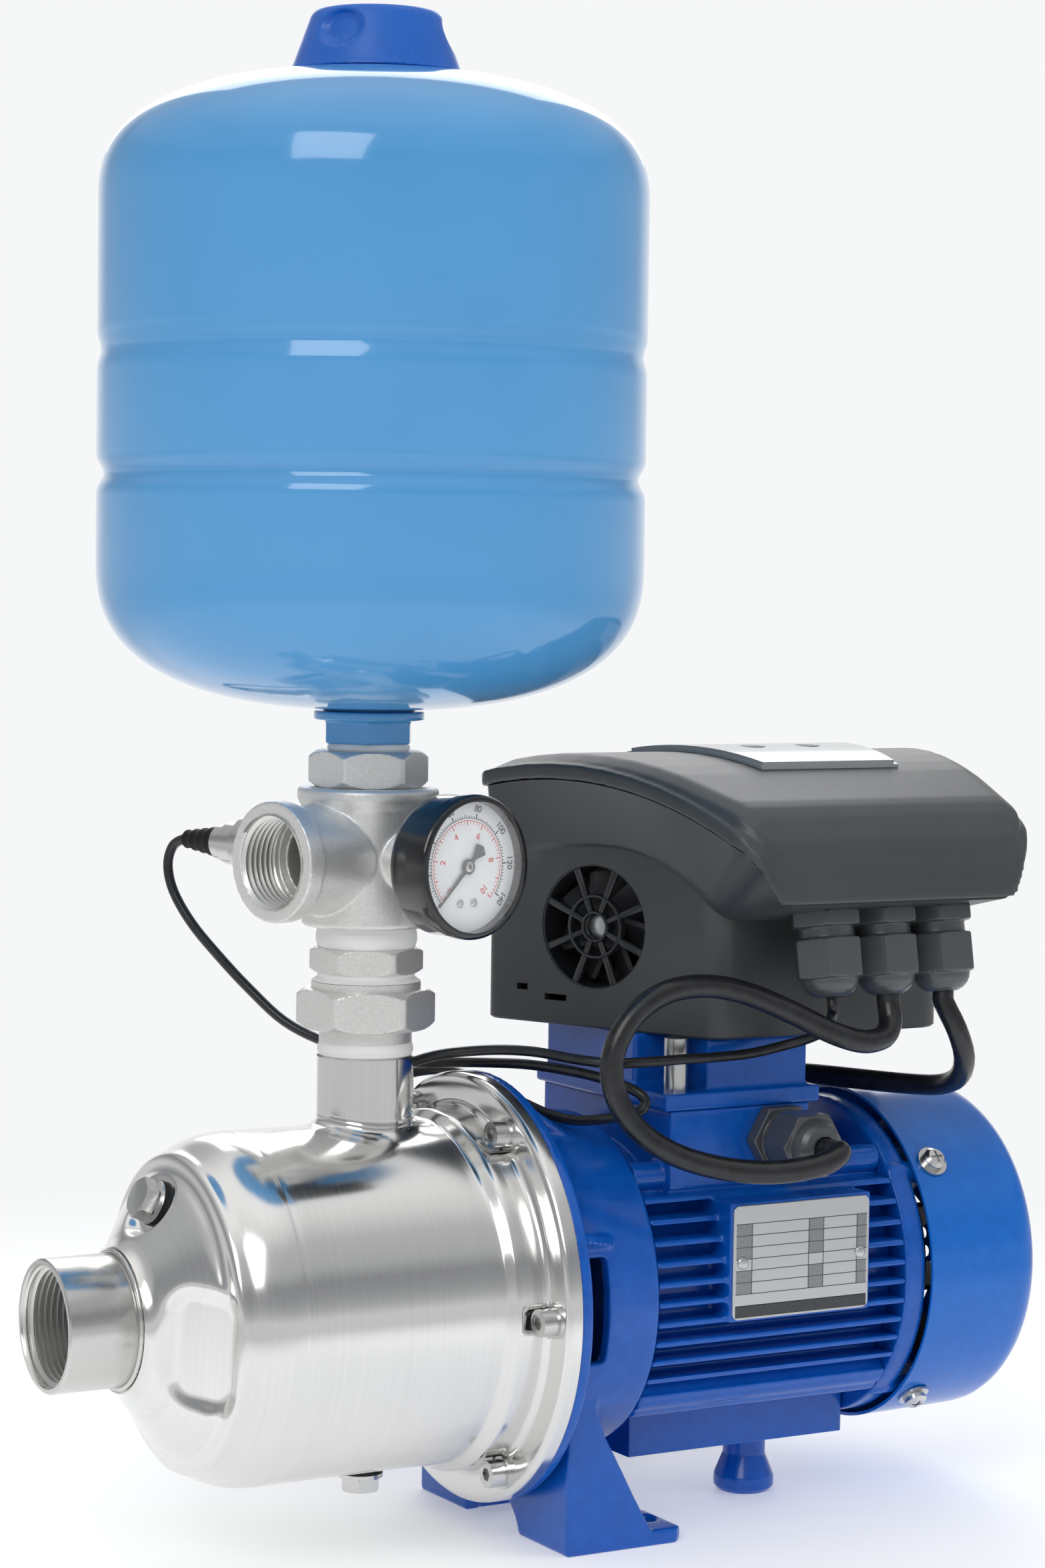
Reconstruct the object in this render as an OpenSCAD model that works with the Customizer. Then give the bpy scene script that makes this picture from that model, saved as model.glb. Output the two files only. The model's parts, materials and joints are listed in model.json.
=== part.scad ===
// Horizontal multistage pump: a drawn stainless casing with three stages, a cast bracket with its foot, a finned
// motor, a speed controller on top of the motor, and a riser that carries a gauge, a sensor and a pressure tank.
// +X runs from the suction socket to the fan cover and +Z is up. The origin lies on the floor, midway between
// the two foot bolts.

/* [Layout] */
// Height of the shaft axis above the floor
axis_z = 90; // [88:1:94]
// Distance from the foot bolts to the joint of casing and bracket
bolts_to_flange = 52; // [50:1:55]
// Distance from that joint to the riser axis
flange_to_riser = 46; // [44:1:50]
// Distance from the riser axis to the suction face
riser_to_suction = 124; // [122:1:130]

/* [Casing] */
// Outer radius of the drawn casing
casing_r = 63; // [62:0.5:64]
// Wall of the drawn casing
casing_wall = 1.5; // [1.2:0.1:1.8]
// Length of the cylinder from its dome to the flange joint
casing_len = 99; // [98:1:101]
// Radius of the shoulder between cylinder and cone
shoulder_r = 31; // [29:1:33]
// Slope of the cone, from the shaft axis
dome_angle = 55; // [53:1:57]
// Slope of the flat under the filling plug, from the shaft axis
flat_angle = 68; // [66:1:70]
// Radius of the casing flange and of the bracket flange
flange_r = 79; // [78:0.5:82]
// Thickness of the casing flange
flange_t = 6; // [5:0.5:7]
// Radius of the screw circle in the flange
screw_circle_r = 71; // [70.5:0.5:72]
// Number of flange screws
screw_count = 6; // [4:1:8]
// Thread radius of a flange screw
screw_r = 3; // [2.5:0.5:3]
// Outer radius of the suction socket
socket_r = 23.5; // [23:0.5:25]
// Radius of the suction thread
suction_bore_r = 20.95; // [20:0.05:21.5]
// Length of the suction socket
socket_len = 26; // [24:1:28]
// Outer radius of the discharge socket
discharge_r = 17.5; // [17:0.5:19]
// Width across flats of the filling plug and the drain plug
plug_af = 13; // [12:0.5:14]

/* [Stages] */
// Number of stages
stage_count = 3; // [2:1:3]
// Length of one stage
stage_pitch = 22; // [20:0.5:22]
// Outer radius of a stage bowl
bowl_r = 53; // [50:0.5:55]
// Radius of an impeller
impeller_r = 43; // [38:0.5:44]
// Number of impeller blades
blade_count = 6; // [5:1:8]
// Radius of the shaft in the pump
shaft_r = 7; // [6:0.5:7]

/* [Bracket and foot] */
// Thickness of the bracket flange
bracket_flange_t = 5; // [4:0.5:6]
// Length of the bracket from flange to motor
bracket_len = 43; // [42:1:46]
// Half the width of the foot
foot_half_w = 55.5; // [54:0.5:60]
// Half the distance between the foot bolts
foot_bolt_y = 38; // [36:0.5:40]
// Radius of a foot bolt hole
foot_hole_r = 4.5; // [4:0.25:5]
// Thickness of the foot plate
foot_t = 5.5; // [5:0.5:7]

/* [Motor] */
// Length of the motor frame
frame_len = 109; // [105:1:112]
// Radius over the motor fins
fin_r = 61.5; // [60:0.5:63]
// Distance from one fin to the next
fin_pitch = 7.3; // [7:0.1:8]
// Thickness of a fin
fin_t = 2.2; // [1.8:0.1:2.6]
// Outer radius of the stator core
stator_r = 46; // [45:0.5:46.5]
// Radius of the rotor core
rotor_r = 29; // [27:0.5:30]
// Length of the stator core and the rotor core
core_len = 56; // [50:1:58]
// Outer radius of a bearing
bearing_r = 17.5; // [16:0.5:18]
// Width of a bearing
bearing_w = 11; // [10:0.5:11]
// Outer radius of the fan cover
cover_r = 64.5; // [64:0.5:66]
// Length of the fan cover
cover_len = 54; // [52:1:58]
// Rounding of the fan cover at its rear
cover_round = 12; // [8:1:14]
// Number of vanes on the motor fan
fan_vanes = 9; // [6:1:10]

/* [Controller] */
// Distance from the foot bolts back to the controller's middle
ctrl_x = 71; // [69:1:73]
// Half width of the housing at its front wall
housing_front_hw = 50; // [48:1:52]
// Half width of the housing at its back wall
housing_back_hw = 94; // [90:1:95]
// Half width of the lid at its nose
lid_front_hw = 62; // [60:1:64]
// Half width of the lid at its back
lid_back_hw = 97; // [96:1:99]
// Reach of the lid in front of the shaft axis
lid_front_y = 94; // [92:1:96]
// Reach of the housing behind the shaft axis
housing_back_y = 51; // [49:1:53]
// Height of the housing floor above the shaft axis
housing_z = 92.5; // [92:0.5:96]
// Height from the housing floor to the crown of the lid
controller_h = 103; // [101:1:105]
// Wall of the controller's mouldings
shell_wall = 3; // [2.5:0.1:3.5]
// Radius of the cooling fan grille
grille_r = 23.5; // [22:0.5:24.5]
// Number of grille spokes
spoke_count = 8; // [6:1:10]

/* [Riser] */
// Height of the riser socket's mouth above the shaft axis
riser_top = 88.3; // [86:0.5:92]
// Width across flats of the union nut
union_af = 44; // [42:1:46]
// Height of the union nut
union_h = 14.5; // [13:0.5:16]
// Width across flats of the hex nipple
nipple_af = 36; // [34:1:38]
// Outer radius of the five-way body
five_way_r = 23.5; // [23:0.5:25]
// Height of the five-way body
five_way_h = 50; // [48:1:52]
// Turn of the five-way body about the riser
five_way_turn = 14.2; // [10:0.2:18]
// Distance from the riser axis to the outlet face
outlet_reach = 45.5; // [44:0.5:48]
// Radius of the outlet thread
outlet_bore_r = 16.65; // [15:0.05:17]
// Radius of the gauge
gauge_r = 25; // [24:0.5:26]
// Distance from the riser axis to the front of the gauge
gauge_reach = 57.5; // [56:0.5:60]

/* [Tank] */
// Radius of the tank
tank_r = 98; // [94:1:102]
// Height of the tank shell
tank_h = 226; // [220:1:232]
// Height of the upper dome
tank_top_h = 46; // [42:1:50]
// Height of the lower dome
tank_bottom_h = 53; // [48:1:58]
// Wall of the tank shell
tank_wall = 1.2; // [1:0.1:1.5]
// Radius of the cap at its foot
cap_r = 31; // [29:0.5:33]
// Height of the cap
cap_h = 22; // [20:0.5:24]

/* [Cables] */
// Diameter of the sensor cable
sensor_d = 3.8; // [3.4:0.1:4.2]
// Diameter of the motor cable
motor_cable_d = 8.6; // [8:0.1:9]
// Diameter of the supply cable
supply_d = 8; // [7.6:0.1:8.4]

/* [Hidden] */
$fn = 64;

// Overrun of every cut past the face that it opens
cut = 1;
// Radial clearance of a shaft in its bore, and of a spigot in its seat
fit = 0.05;
// Gap between curved neighbours that don't touch
gap = 0.3;

// Stations along the shaft
flange_x = -bolts_to_flange;
riser_x = flange_x - flange_to_riser;
suction_x = riser_x - riser_to_suction;
casing_x = flange_x - casing_len;
frame_x = flange_x + bracket_len;
shield_x = frame_x + frame_len;
shield_t = 9;
cover_x = shield_x + shield_t + cut;
cover_end_x = cover_x + cover_len;
core_x = frame_x + (frame_len - core_len) / 2;

// Anything drawn along the shaft: z of the child runs along +X
module on_axis() {
    translate([0, 0, axis_z]) rotate([0, 90, 0]) children();
}

// A turned piece on the shaft axis, from points of station and radius
module spun(points) {
    on_axis() rotate_extrude() polygon([for (p = points) [p[1], p[0]]]);
}

// x of the child points away from the shaft at a clock angle, which starts at the top and turns to the front
module clocked(angle) {
    on_axis() rotate([0, 0, 180 + angle]) children();
}

module around(count, first = 0) {
    for (i = [0 : count - 1]) clocked(first + i * 360 / count) children();
}

module ring(r_out, r_in, h) {
    difference() {
        cylinder(r = r_out, h = h);
        translate([0, 0, -cut]) cylinder(r = r_in, h = h + 2 * cut);
    }
}

// A hexagon bar with its corners chamfered at both ends
module hex_bar(af, h, edge) {
    corner_r = af / 2 / cos(30);
    intersection() {
        cylinder(r = corner_r, h = h, $fn = 6);
        rotate_extrude() polygon([[0, 0], [corner_r - edge, 0], [corner_r, edge / 2], [corner_r, h - edge / 2],
            [corner_r - edge, h], [0, h]]);
    }
}

module hex_ring(af, h, edge, bore_r) {
    difference() {
        hex_bar(af, h, edge);
        translate([0, 0, -cut]) cylinder(r = bore_r, h = h + 2 * cut);
    }
}

// Points of an arc in a plane
function arc(x, y, r, from, to, steps = 8) =
    [for (i = [0 : steps]) let (a = from + (to - from) * i / steps) [x + r * cos(a), y + r * sin(a)]];

// Casing: cone, shoulder, cylinder and a stepped flange, drawn from one sheet
neck_wall = 2;
neck_r = socket_r + casing_wall / 2;
neck_face_x = suction_x + socket_len;
neck_bore_r = suction_bore_r + casing_wall / 3;
step_h = 3.2;
step_len = 14;
spot_len = 11;
step_round = 3;
flange_edge = 2.5;
flange_face_x = flange_x - flange_t;
casing_in_r = casing_r - casing_wall;
plate_t = 4;
plate_r = casing_r + 3;
pocket_depth = 6;
pocket_len = 26;
pocket_w = 40;
pocket_r = 41;
pocket_clock = 98;
plug_flat_r = 12;
plug_flat_depth = 3;
filling_r = 41;
plug_shank_r = 6.5;
plug_shank_len = 8;
plug_head_h = 5;
washer_t = 1.6;
washer_r = 8.2;
boss_r = 10;
boss_h = 5;

function cone_r(x, off) = let (a = dome_angle, r = shoulder_r - off)
    casing_r - shoulder_r + r * cos(a) + (x - casing_x + r * sin(a)) * tan(a);
function cone_x(radius, off = 0) = let (a = dome_angle, r = shoulder_r - off)
    casing_x - r * sin(a) + (radius - (casing_r - shoulder_r + r * cos(a))) / tan(a);

function dome_points(off) = [for (p = arc(casing_x, casing_r - shoulder_r, shoulder_r - off,
    90 + dome_angle, 90)) p];

casing_outer = concat(
    [[neck_face_x, 0], [neck_face_x, neck_r], [cone_x(neck_r), neck_r]],
    dome_points(0),
    arc(flange_face_x - step_len - step_round, casing_r + step_round, step_round, -90, -45, 3),
    arc(flange_face_x - step_len + step_round, casing_r + step_h - step_round, step_round, 135, 90, 3),
    arc(flange_face_x - step_round, casing_r + step_h + step_round, step_round, -90, 0, 4),
    [[flange_face_x, flange_r - flange_edge]],
    arc(flange_face_x + flange_edge, flange_r - flange_edge, flange_edge, 180, 90, 4),
    [[flange_x, flange_r], [flange_x, 0]]);

casing_inner = concat(
    [[neck_face_x - cut, 0], [neck_face_x - cut, neck_bore_r],
        [cone_x(neck_bore_r, casing_wall), neck_bore_r]],
    dome_points(casing_wall),
    [[flange_x - plate_t, casing_in_r], [flange_x - plate_t, plate_r + fit], [flange_x + cut, plate_r + fit],
        [flange_x + cut, 0]]);

// A child stands on the cone at a clock angle and a radius, with z along the outward normal
module on_cone(angle, radius) {
    clocked(angle) translate([radius, 0, cone_x(radius)]) rotate([0, 90 + dome_angle, 0]) children();
}

// A child stands on the flat under the filling plug, which is pressed in more steeply than the cone
module on_flat(depth) {
    on_cone(0, filling_r) rotate([0, flat_angle - dome_angle, 0]) translate([0, 0, -plug_flat_depth - depth])
        children();
}

module pocket(off) {
    on_cone(pocket_clock, pocket_r) hull() {
        for (y = [-1, 1], x = [-1, 1])
            translate([x * (pocket_len / 2 - pocket_depth), y * (pocket_w / 2 - pocket_depth), 0])
                sphere(r = pocket_depth + off, $fn = 24);
    }
}

module plug_flat(off) {
    on_flat(off) cylinder(r = plug_flat_r + off, h = plug_flat_depth + off + boss_h * 2);
}

module drain_seat() {
    clocked(180) translate([casing_in_r, 0, riser_x]) rotate([0, 90, 0]) children();
}

module pump_casing() {
    color("#c9cbcc") difference() {
        union() {
            difference() {
                spun(casing_outer);
                plug_flat(0);
                pocket(0);
                difference() {
                    spun(casing_inner);
                    pocket(casing_wall);
                    plug_flat(casing_wall);
                }
            }
            on_flat(boss_h) cylinder(r = boss_r, h = boss_h);
            drain_seat() translate([0, 0, -boss_h]) cylinder(r = boss_r, h = boss_h + casing_wall);
        }
        on_flat(boss_h + cut) cylinder(r = plug_shank_r + fit, h = boss_h * 3);
        drain_seat() translate([0, 0, -boss_h - cut])
            cylinder(r = plug_shank_r + fit, h = boss_h * 3);
        translate([riser_x, 0, axis_z]) cylinder(r = discharge_r + fit, h = casing_r + casing_wall + cut);
        around(screw_count, 180 / screw_count) translate([screw_circle_r, 0, flange_face_x]) {
            translate([0, 0, -cut]) cylinder(r = screw_r + gap, h = flange_t + 2 * cut);
            translate([0, 0, -spot_len]) cylinder(r = 2 * screw_r + gap, h = spot_len);
        }
    }
}

// Sockets: turned tubes welded to the casing, with a threaded suction bore
suction_lip = 1;
socket_wall = 2;
weld_r = 3.5;
discharge_bore_r = discharge_r - socket_wall;
casing_top_z = axis_z + sqrt(pow(casing_in_r, 2) - pow(discharge_r, 2));
riser_z = axis_z + riser_top;

module pipe_sockets() {
    color("#c4c6c6") {
        spun([[suction_x, suction_bore_r + suction_lip], [suction_x + suction_lip, suction_bore_r],
            [neck_face_x, suction_bore_r], [neck_face_x, socket_r], [suction_x + suction_lip, socket_r],
            [suction_x, socket_r - suction_lip]]);
        translate([riser_x, 0, 0]) difference() {
            union() {
                translate([0, 0, casing_top_z]) cylinder(r = discharge_r, h = riser_z - casing_top_z);
                translate([0, 0, axis_z + casing_r + fit]) cylinder(r1 = discharge_r + weld_r,
                    r2 = discharge_r, h = weld_r);
            }
            translate([0, 0, axis_z]) cylinder(r = discharge_bore_r, h = riser_top + cut);
        }
    }
}

// Socket-head screw along -z, with its washer under the head
head_share = 1.65;
socket_share = 0.85;
module cap_screw(r, reach) {
    head_r = r * head_share;
    translate([0, 0, -reach]) cylinder(r = r, h = reach);
    translate([0, 0, washer_t]) difference() {
        cylinder(r = head_r, h = 2 * r);
        translate([0, 0, r]) cylinder(r = r * socket_share, h = r + cut, $fn = 6);
    }
    cylinder(r = r, h = washer_t);
    ring(2 * r, r + fit, washer_t);
}

screw_engage = bracket_flange_t - cut / 2;
module casing_screws() {
    color("#b9bcbe") around(screw_count, 180 / screw_count)
        translate([screw_circle_r, 0, flange_face_x]) rotate([180, 0, 0])
            cap_screw(screw_r, flange_t + screw_engage);
}

module plug() {
    translate([0, 0, -plug_shank_len]) cylinder(r = plug_shank_r, h = plug_shank_len + washer_t);
    translate([0, 0, washer_t]) {
        cylinder(r = plug_af / 2 + washer_t, h = washer_t);
        translate([0, 0, washer_t]) hex_bar(plug_af, plug_head_h, washer_t / 2);
    }
}

module filling_seat() {
    on_flat(0) children();
}

module drain_face() {
    drain_seat() translate([0, 0, casing_wall]) children();
}

module filling_plug() {
    color("#bfc2c4") filling_seat() plug();
}

module drain_plug() {
    color("#bfc2c4") drain_face() plug();
}

o_ring_r = 1.05;
groove_w = 2.4;
groove_depth = 2.2;
o_ring_mid_r = (casing_in_r + plate_r) / 2;
module casing_seals() {
    color("#1c1c1c") {
        filling_seat() ring(washer_r, plug_shank_r + fit, washer_t);
        drain_face() ring(washer_r, plug_shank_r + fit, washer_t);
        spun([for (p = arc(flange_x - plate_t + groove_depth / 2, o_ring_mid_r, o_ring_r, 0, 345, 23)) p]);
    }
}

// Seal plate: closes the casing and holds the still half of the shaft seal
seal_hub_r = 17;
seal_len = 6;
seal_r = 13;
shaft_hole_r = shaft_r + 1.5;
plate_x = flange_x - plate_t;
seal_face_x = plate_x - seal_len;
module seal_plate() {
    color("#b4b7b8") difference() {
        spun([[plate_x, 0], [plate_x, o_ring_mid_r - groove_w / 2], [plate_x + groove_depth, o_ring_mid_r -
            groove_w / 2], [plate_x + groove_depth, o_ring_mid_r + groove_w / 2], [plate_x, o_ring_mid_r +
            groove_w / 2], [plate_x, plate_r], [flange_x, plate_r], [flange_x, 0]]);
        on_axis() translate([0, 0, plate_x - cut]) cylinder(r = shaft_hole_r, h = plate_t + 2 * cut);
    }
    color("#b4b7b8") on_axis() translate([0, 0, seal_face_x])
        ring(seal_hub_r, seal_r + fit, seal_len);
}

module seal_seat() {
    color("#e4e2da") on_axis() translate([0, 0, seal_face_x]) ring(seal_r, shaft_hole_r, seal_len);
}

rotating_gap = 0.1;
rotating_len = 12;
module rotating_seal() {
    color("#3a3a3c") spun([[seal_face_x - rotating_gap, shaft_r + fit],
        [seal_face_x - rotating_gap, seal_r - cut], [seal_face_x - rotating_len / 4, seal_r - cut],
        [seal_face_x - rotating_len / 4, seal_r - cut / 2], [seal_face_x - rotating_len, seal_r - cut / 2],
        [seal_face_x - rotating_len, shaft_r + fit]]);
}

// Stages: the impellers sling water outwards, and the bowls lead it back to the next eye
stack_end_x = seal_face_x - rotating_len;
stack_x = stack_end_x - stage_count * stage_pitch;
bowl_wall = 1.5;
eye_r = 17;
hub_r = shaft_r + 3.5;
disc_t = 1.2;
blade_h = 5;
vane_h = 4.5;
vane_count = 8;
guide_r = bowl_r - 4 * bowl_wall;
guide_x = disc_t * 2 + blade_h + 4 * disc_t;
funnel_len = 12;
funnel_r = neck_bore_r - gap;

module stage_bowl() {
    vane_x = guide_x + disc_t;
    ring(bowl_r, bowl_r - bowl_wall, stage_pitch);
    translate([0, 0, guide_x]) ring(guide_r, hub_r + gap, disc_t);
    translate([0, 0, vane_x + vane_h]) ring(bowl_r - bowl_wall / 2, eye_r + disc_t + gap, bowl_wall);
    for (i = [1 : vane_count]) rotate([0, 0, i * 360 / vane_count])
        translate([eye_r + 2 * disc_t, -disc_t / 2, vane_x - disc_t / 2])
            cube([guide_r - eye_r - 4 * disc_t, disc_t, vane_h + disc_t]);
}

module stage_bowls() {
    color("#aeb2b4") {
        for (i = [0 : stage_count - 1]) on_axis() translate([0, 0, stack_x + i * stage_pitch]) stage_bowl();
        spun([[neck_face_x + cut, funnel_r - disc_t], [neck_face_x + cut, funnel_r],
            [neck_face_x + funnel_len, funnel_r], [stack_x - bowl_wall, bowl_r], [stack_x, bowl_r],
            [stack_x, bowl_r - bowl_wall], [neck_face_x + funnel_len, funnel_r - disc_t]]);
    }
}

// A blade is a strip of a tube wall, cut from a circle that leans back from the eye to the rim
blade_r = impeller_r * 0.75;
blade_lean = impeller_r * 0.42;
module blade() {
    translate([blade_lean, 0, 0]) ring(blade_r, blade_r - disc_t, blade_h + disc_t / 2);
}

module impeller() {
    ring(hub_r, shaft_r + fit, stage_pitch);
    translate([0, 0, disc_t]) ring(impeller_r, eye_r, disc_t);
    translate([0, 0, -disc_t]) ring(eye_r + disc_t, eye_r, 2 * disc_t + disc_t / 2);
    translate([0, 0, 2 * disc_t + blade_h]) ring(impeller_r, hub_r - disc_t, disc_t);
    translate([0, 0, 2 * disc_t - disc_t / 4]) intersection() {
        ring(impeller_r - disc_t / 4, eye_r + disc_t / 2, blade_h + disc_t / 2);
        union() {
            for (i = [1 : blade_count]) rotate([0, 0, i * 360 / blade_count]) intersection() {
                blade();
                translate([0, -impeller_r, 0]) cube([impeller_r, impeller_r, blade_h + disc_t]);
            }
        }
    }
}

module impellers() {
    color("#b9bdbf") for (i = [0 : stage_count - 1])
        on_axis() translate([0, 0, stack_x + i * stage_pitch]) impeller();
}

// Shaft: one piece from the first impeller to the motor fan
seat_r = shaft_r + 0.5;
shoulder_shaft_r = seat_r + 2;
nut_h = 7;
thread_r = shaft_r - 2;
front_bearing_x = frame_x - bearing_w;
rear_bearing_x = shield_x - bearing_w / 2;
bearing_lip = 2;
fan_len = 20;
fan_x = cover_x + shield_t;
shaft_front_x = stack_x - nut_h - cut;
shaft_end_x = fan_x + fan_len;

module rotor_shaft() {
    color("#a9acae") spun([[shaft_front_x, 0], [shaft_front_x, thread_r], [stack_x, thread_r],
        [stack_x, shaft_r], [front_bearing_x - bearing_lip - cut, shaft_r],
        [front_bearing_x - bearing_lip - cut, seat_r], [front_bearing_x + bearing_w, seat_r],
        [front_bearing_x + bearing_w, shoulder_shaft_r], [rear_bearing_x, shoulder_shaft_r],
        [rear_bearing_x, seat_r], [rear_bearing_x + bearing_w + cut, seat_r],
        [rear_bearing_x + bearing_w + cut, shaft_r], [shaft_end_x, shaft_r], [shaft_end_x, 0]]);
}

module impeller_nut() {
    color("#c6c8c9") on_axis() translate([0, 0, stack_x - nut_h])
        hex_ring(2.4 * shaft_r, nut_h, shaft_r / 5, thread_r + fit);
}

module bearing(x) {
    race_share = 0.36;
    groove = bearing_w * 0.08;
    race = (bearing_r - seat_r) * race_share;
    spun([[x, seat_r + fit], [x, seat_r + race], [x + groove, seat_r + race], [x + groove, bearing_r - race],
        [x, bearing_r - race], [x, bearing_r], [x + bearing_w, bearing_r], [x + bearing_w, bearing_r - race],
        [x + bearing_w - groove, bearing_r - race], [x + bearing_w - groove, seat_r + race],
        [x + bearing_w, seat_r + race], [x + bearing_w, seat_r + fit]]);
}

module bearings() {
    color("#9a9da0") {
        bearing(front_bearing_x);
        bearing(rear_bearing_x);
    }
}

// Bracket: flange, windowed drum, bearing wall and a hollow foot, in one casting
drum_front_r = casing_r + 4;
drum_rear_r = fin_r + 0.5;
drum_wall = 5;
wall_t = 8;
window_x = flange_x + bracket_flange_t + cut;
window_len = 14;
window_h = 38;
rib_t = 4;
rib_len = 20;
foot_front_x = flange_x + bracket_flange_t + 4;
foot_rear_x = 7;
foot_wall = 6;
foot_inner_y = 20.5;
foot_top_z = 60;
slant_len = 24;
slant_h = 48;
slant_shares = [[0.3, 0.26], [0.62, 0.56], [0.84, 0.76], [0.96, 0.92], [1, 1]];
arch_drop = 6;
pad_corner = 7;
hub_wall = 5.5;

function drum_r(x) = drum_front_r + (drum_rear_r - drum_front_r) * (x - flange_x) / bracket_len;

module foot_side(y) {
    rear_low_x = foot_rear_x - 2 * pad_corner;
    translate([0, y + foot_wall, 0]) rotate([90, 0, 0]) linear_extrude(foot_wall)
        polygon([[foot_front_x, 0], [rear_low_x, 0], [rear_low_x, foot_t],
            for (share = slant_shares) [rear_low_x - slant_len * share[0], foot_t + slant_h * share[1]],
            [rear_low_x - slant_len, foot_top_z], [foot_front_x, foot_top_z]]);
}

module foot_pad(side) {
    linear_extrude(foot_t) polygon([[foot_front_x, side * foot_inner_y], [foot_front_x, side * foot_half_w],
        [foot_rear_x - pad_corner / 2, side * foot_half_w], [foot_rear_x, side * (foot_half_w - pad_corner / 2)],
        [foot_rear_x, side * (foot_inner_y + pad_corner)], [foot_rear_x - pad_corner, side * foot_inner_y]]);
    translate([foot_front_x, side > 0 ? foot_inner_y : -foot_inner_y - foot_wall / 2, 0])
        cube([foot_rear_x - foot_front_x - 2 * pad_corner, foot_wall / 2, foot_t + foot_wall]);
}

module motor_bracket() {
    color("#1d52b5") difference() {
        union() {
            spun([[flange_x, plate_r - 2 * foot_wall], [flange_x, flange_r], [flange_x + bracket_flange_t - cut,
                flange_r], [flange_x + bracket_flange_t, flange_r - cut],
                [flange_x + bracket_flange_t, drum_r(flange_x + bracket_flange_t)],
                [frame_x - cut, drum_r(frame_x)], [frame_x, drum_r(frame_x) - cut],
                [frame_x, plate_r - 2 * foot_wall]]);
            difference() {
                union() {
                    translate([foot_front_x, -foot_half_w, 0])
                        cube([foot_wall, 2 * foot_half_w, foot_top_z]);
                    foot_side(-foot_half_w);
                    foot_side(foot_half_w - foot_wall);
                }
                translate([foot_front_x - cut, 0, -arch_drop]) rotate([0, 90, 0])
                    cylinder(r = foot_inner_y, h = foot_wall + 2 * cut);
            }
            foot_pad(1);
            foot_pad(-1);
            for (a = [-68, -25, 25, 68]) clocked(a) translate([0, rib_t / 2, 0]) rotate([90, 0, 0])
                linear_extrude(rib_t) polygon([[drum_rear_r - drum_wall, flange_x + cut],
                    [flange_r - 2 * cut, flange_x + cut], [flange_r - 2 * cut, flange_x + bracket_flange_t],
                    [drum_r(flange_x + rib_len) - cut, flange_x + bracket_flange_t + rib_len]]);
            on_axis() translate([0, 0, front_bearing_x - bearing_lip])
                cylinder(r = bearing_r + hub_wall, h = bearing_w + bearing_lip);
            on_axis() translate([0, 0, frame_x - wall_t]) cylinder(r = drum_rear_r - drum_wall / 2, h = wall_t);
        }
        spun([[flange_x - cut, 0], [flange_x - cut, drum_front_r - drum_wall],
            [flange_x, drum_front_r - drum_wall], [frame_x - wall_t, drum_rear_r - drum_wall],
            [frame_x - wall_t, bearing_r + hub_wall], [front_bearing_x - bearing_lip, bearing_r + hub_wall],
            [front_bearing_x - bearing_lip, 0]]);
        on_axis() translate([0, 0, front_bearing_x]) cylinder(r = bearing_r + fit / 2, h = bearing_w + cut);
        on_axis() translate([0, 0, front_bearing_x - bearing_lip - cut])
            cylinder(r = bearing_r - 3 * bearing_lip, h = bearing_w);
        for (a = [90, 270]) clocked(a) translate([drum_rear_r - 2 * drum_wall, -window_h / 2, window_x])
            cube([4 * drum_wall, window_h, window_len]);
        around(screw_count, 180 / screw_count) translate([screw_circle_r, 0, flange_x - cut])
            cylinder(r = screw_r + fit, h = bracket_flange_t + 2 * cut);
        for (y = [-foot_bolt_y, foot_bolt_y]) translate([0, y, -cut])
            cylinder(r = foot_hole_r, h = foot_t + 2 * cut);
        around(4, tie_clock) translate([tie_circle_r, 0, frame_x - wall_t + cut])
            cylinder(r = tie_r + fit, h = wall_t);
    }
}

// Motor frame: finned aluminium casting with a rail below and the terminal box on top
frame_wall = 5;
frame_in_r = stator_r + fit;
frame_out_r = stator_r + frame_wall;
fin_count = 12;
top_fin_z = 35.5;
rail_half_w = 22;
rail_drop = 66;
rail_h = 16;
rail_end = 6;
plate_pad_y = 62.5;
plate_w = 60;
plate_h = 42;
plate_mid_x = 51;
plate_mid_z = 12.5;
tie_clock = 41.5;
tie_circle_r = 56.5;
tie_r = 2.5;
tie_boss_r = 5.5;
box_half_x = 30.5;
box_half_y = 46;
box_x = ctrl_x - 36.5;
box_top = 67;
box_wall = 5;
box_floor = 52;
box_bottom = 38;
gland_hole_r = 8;
box_gland_x = box_x + 16;
box_gland_z = axis_z + 54.5;

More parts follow.
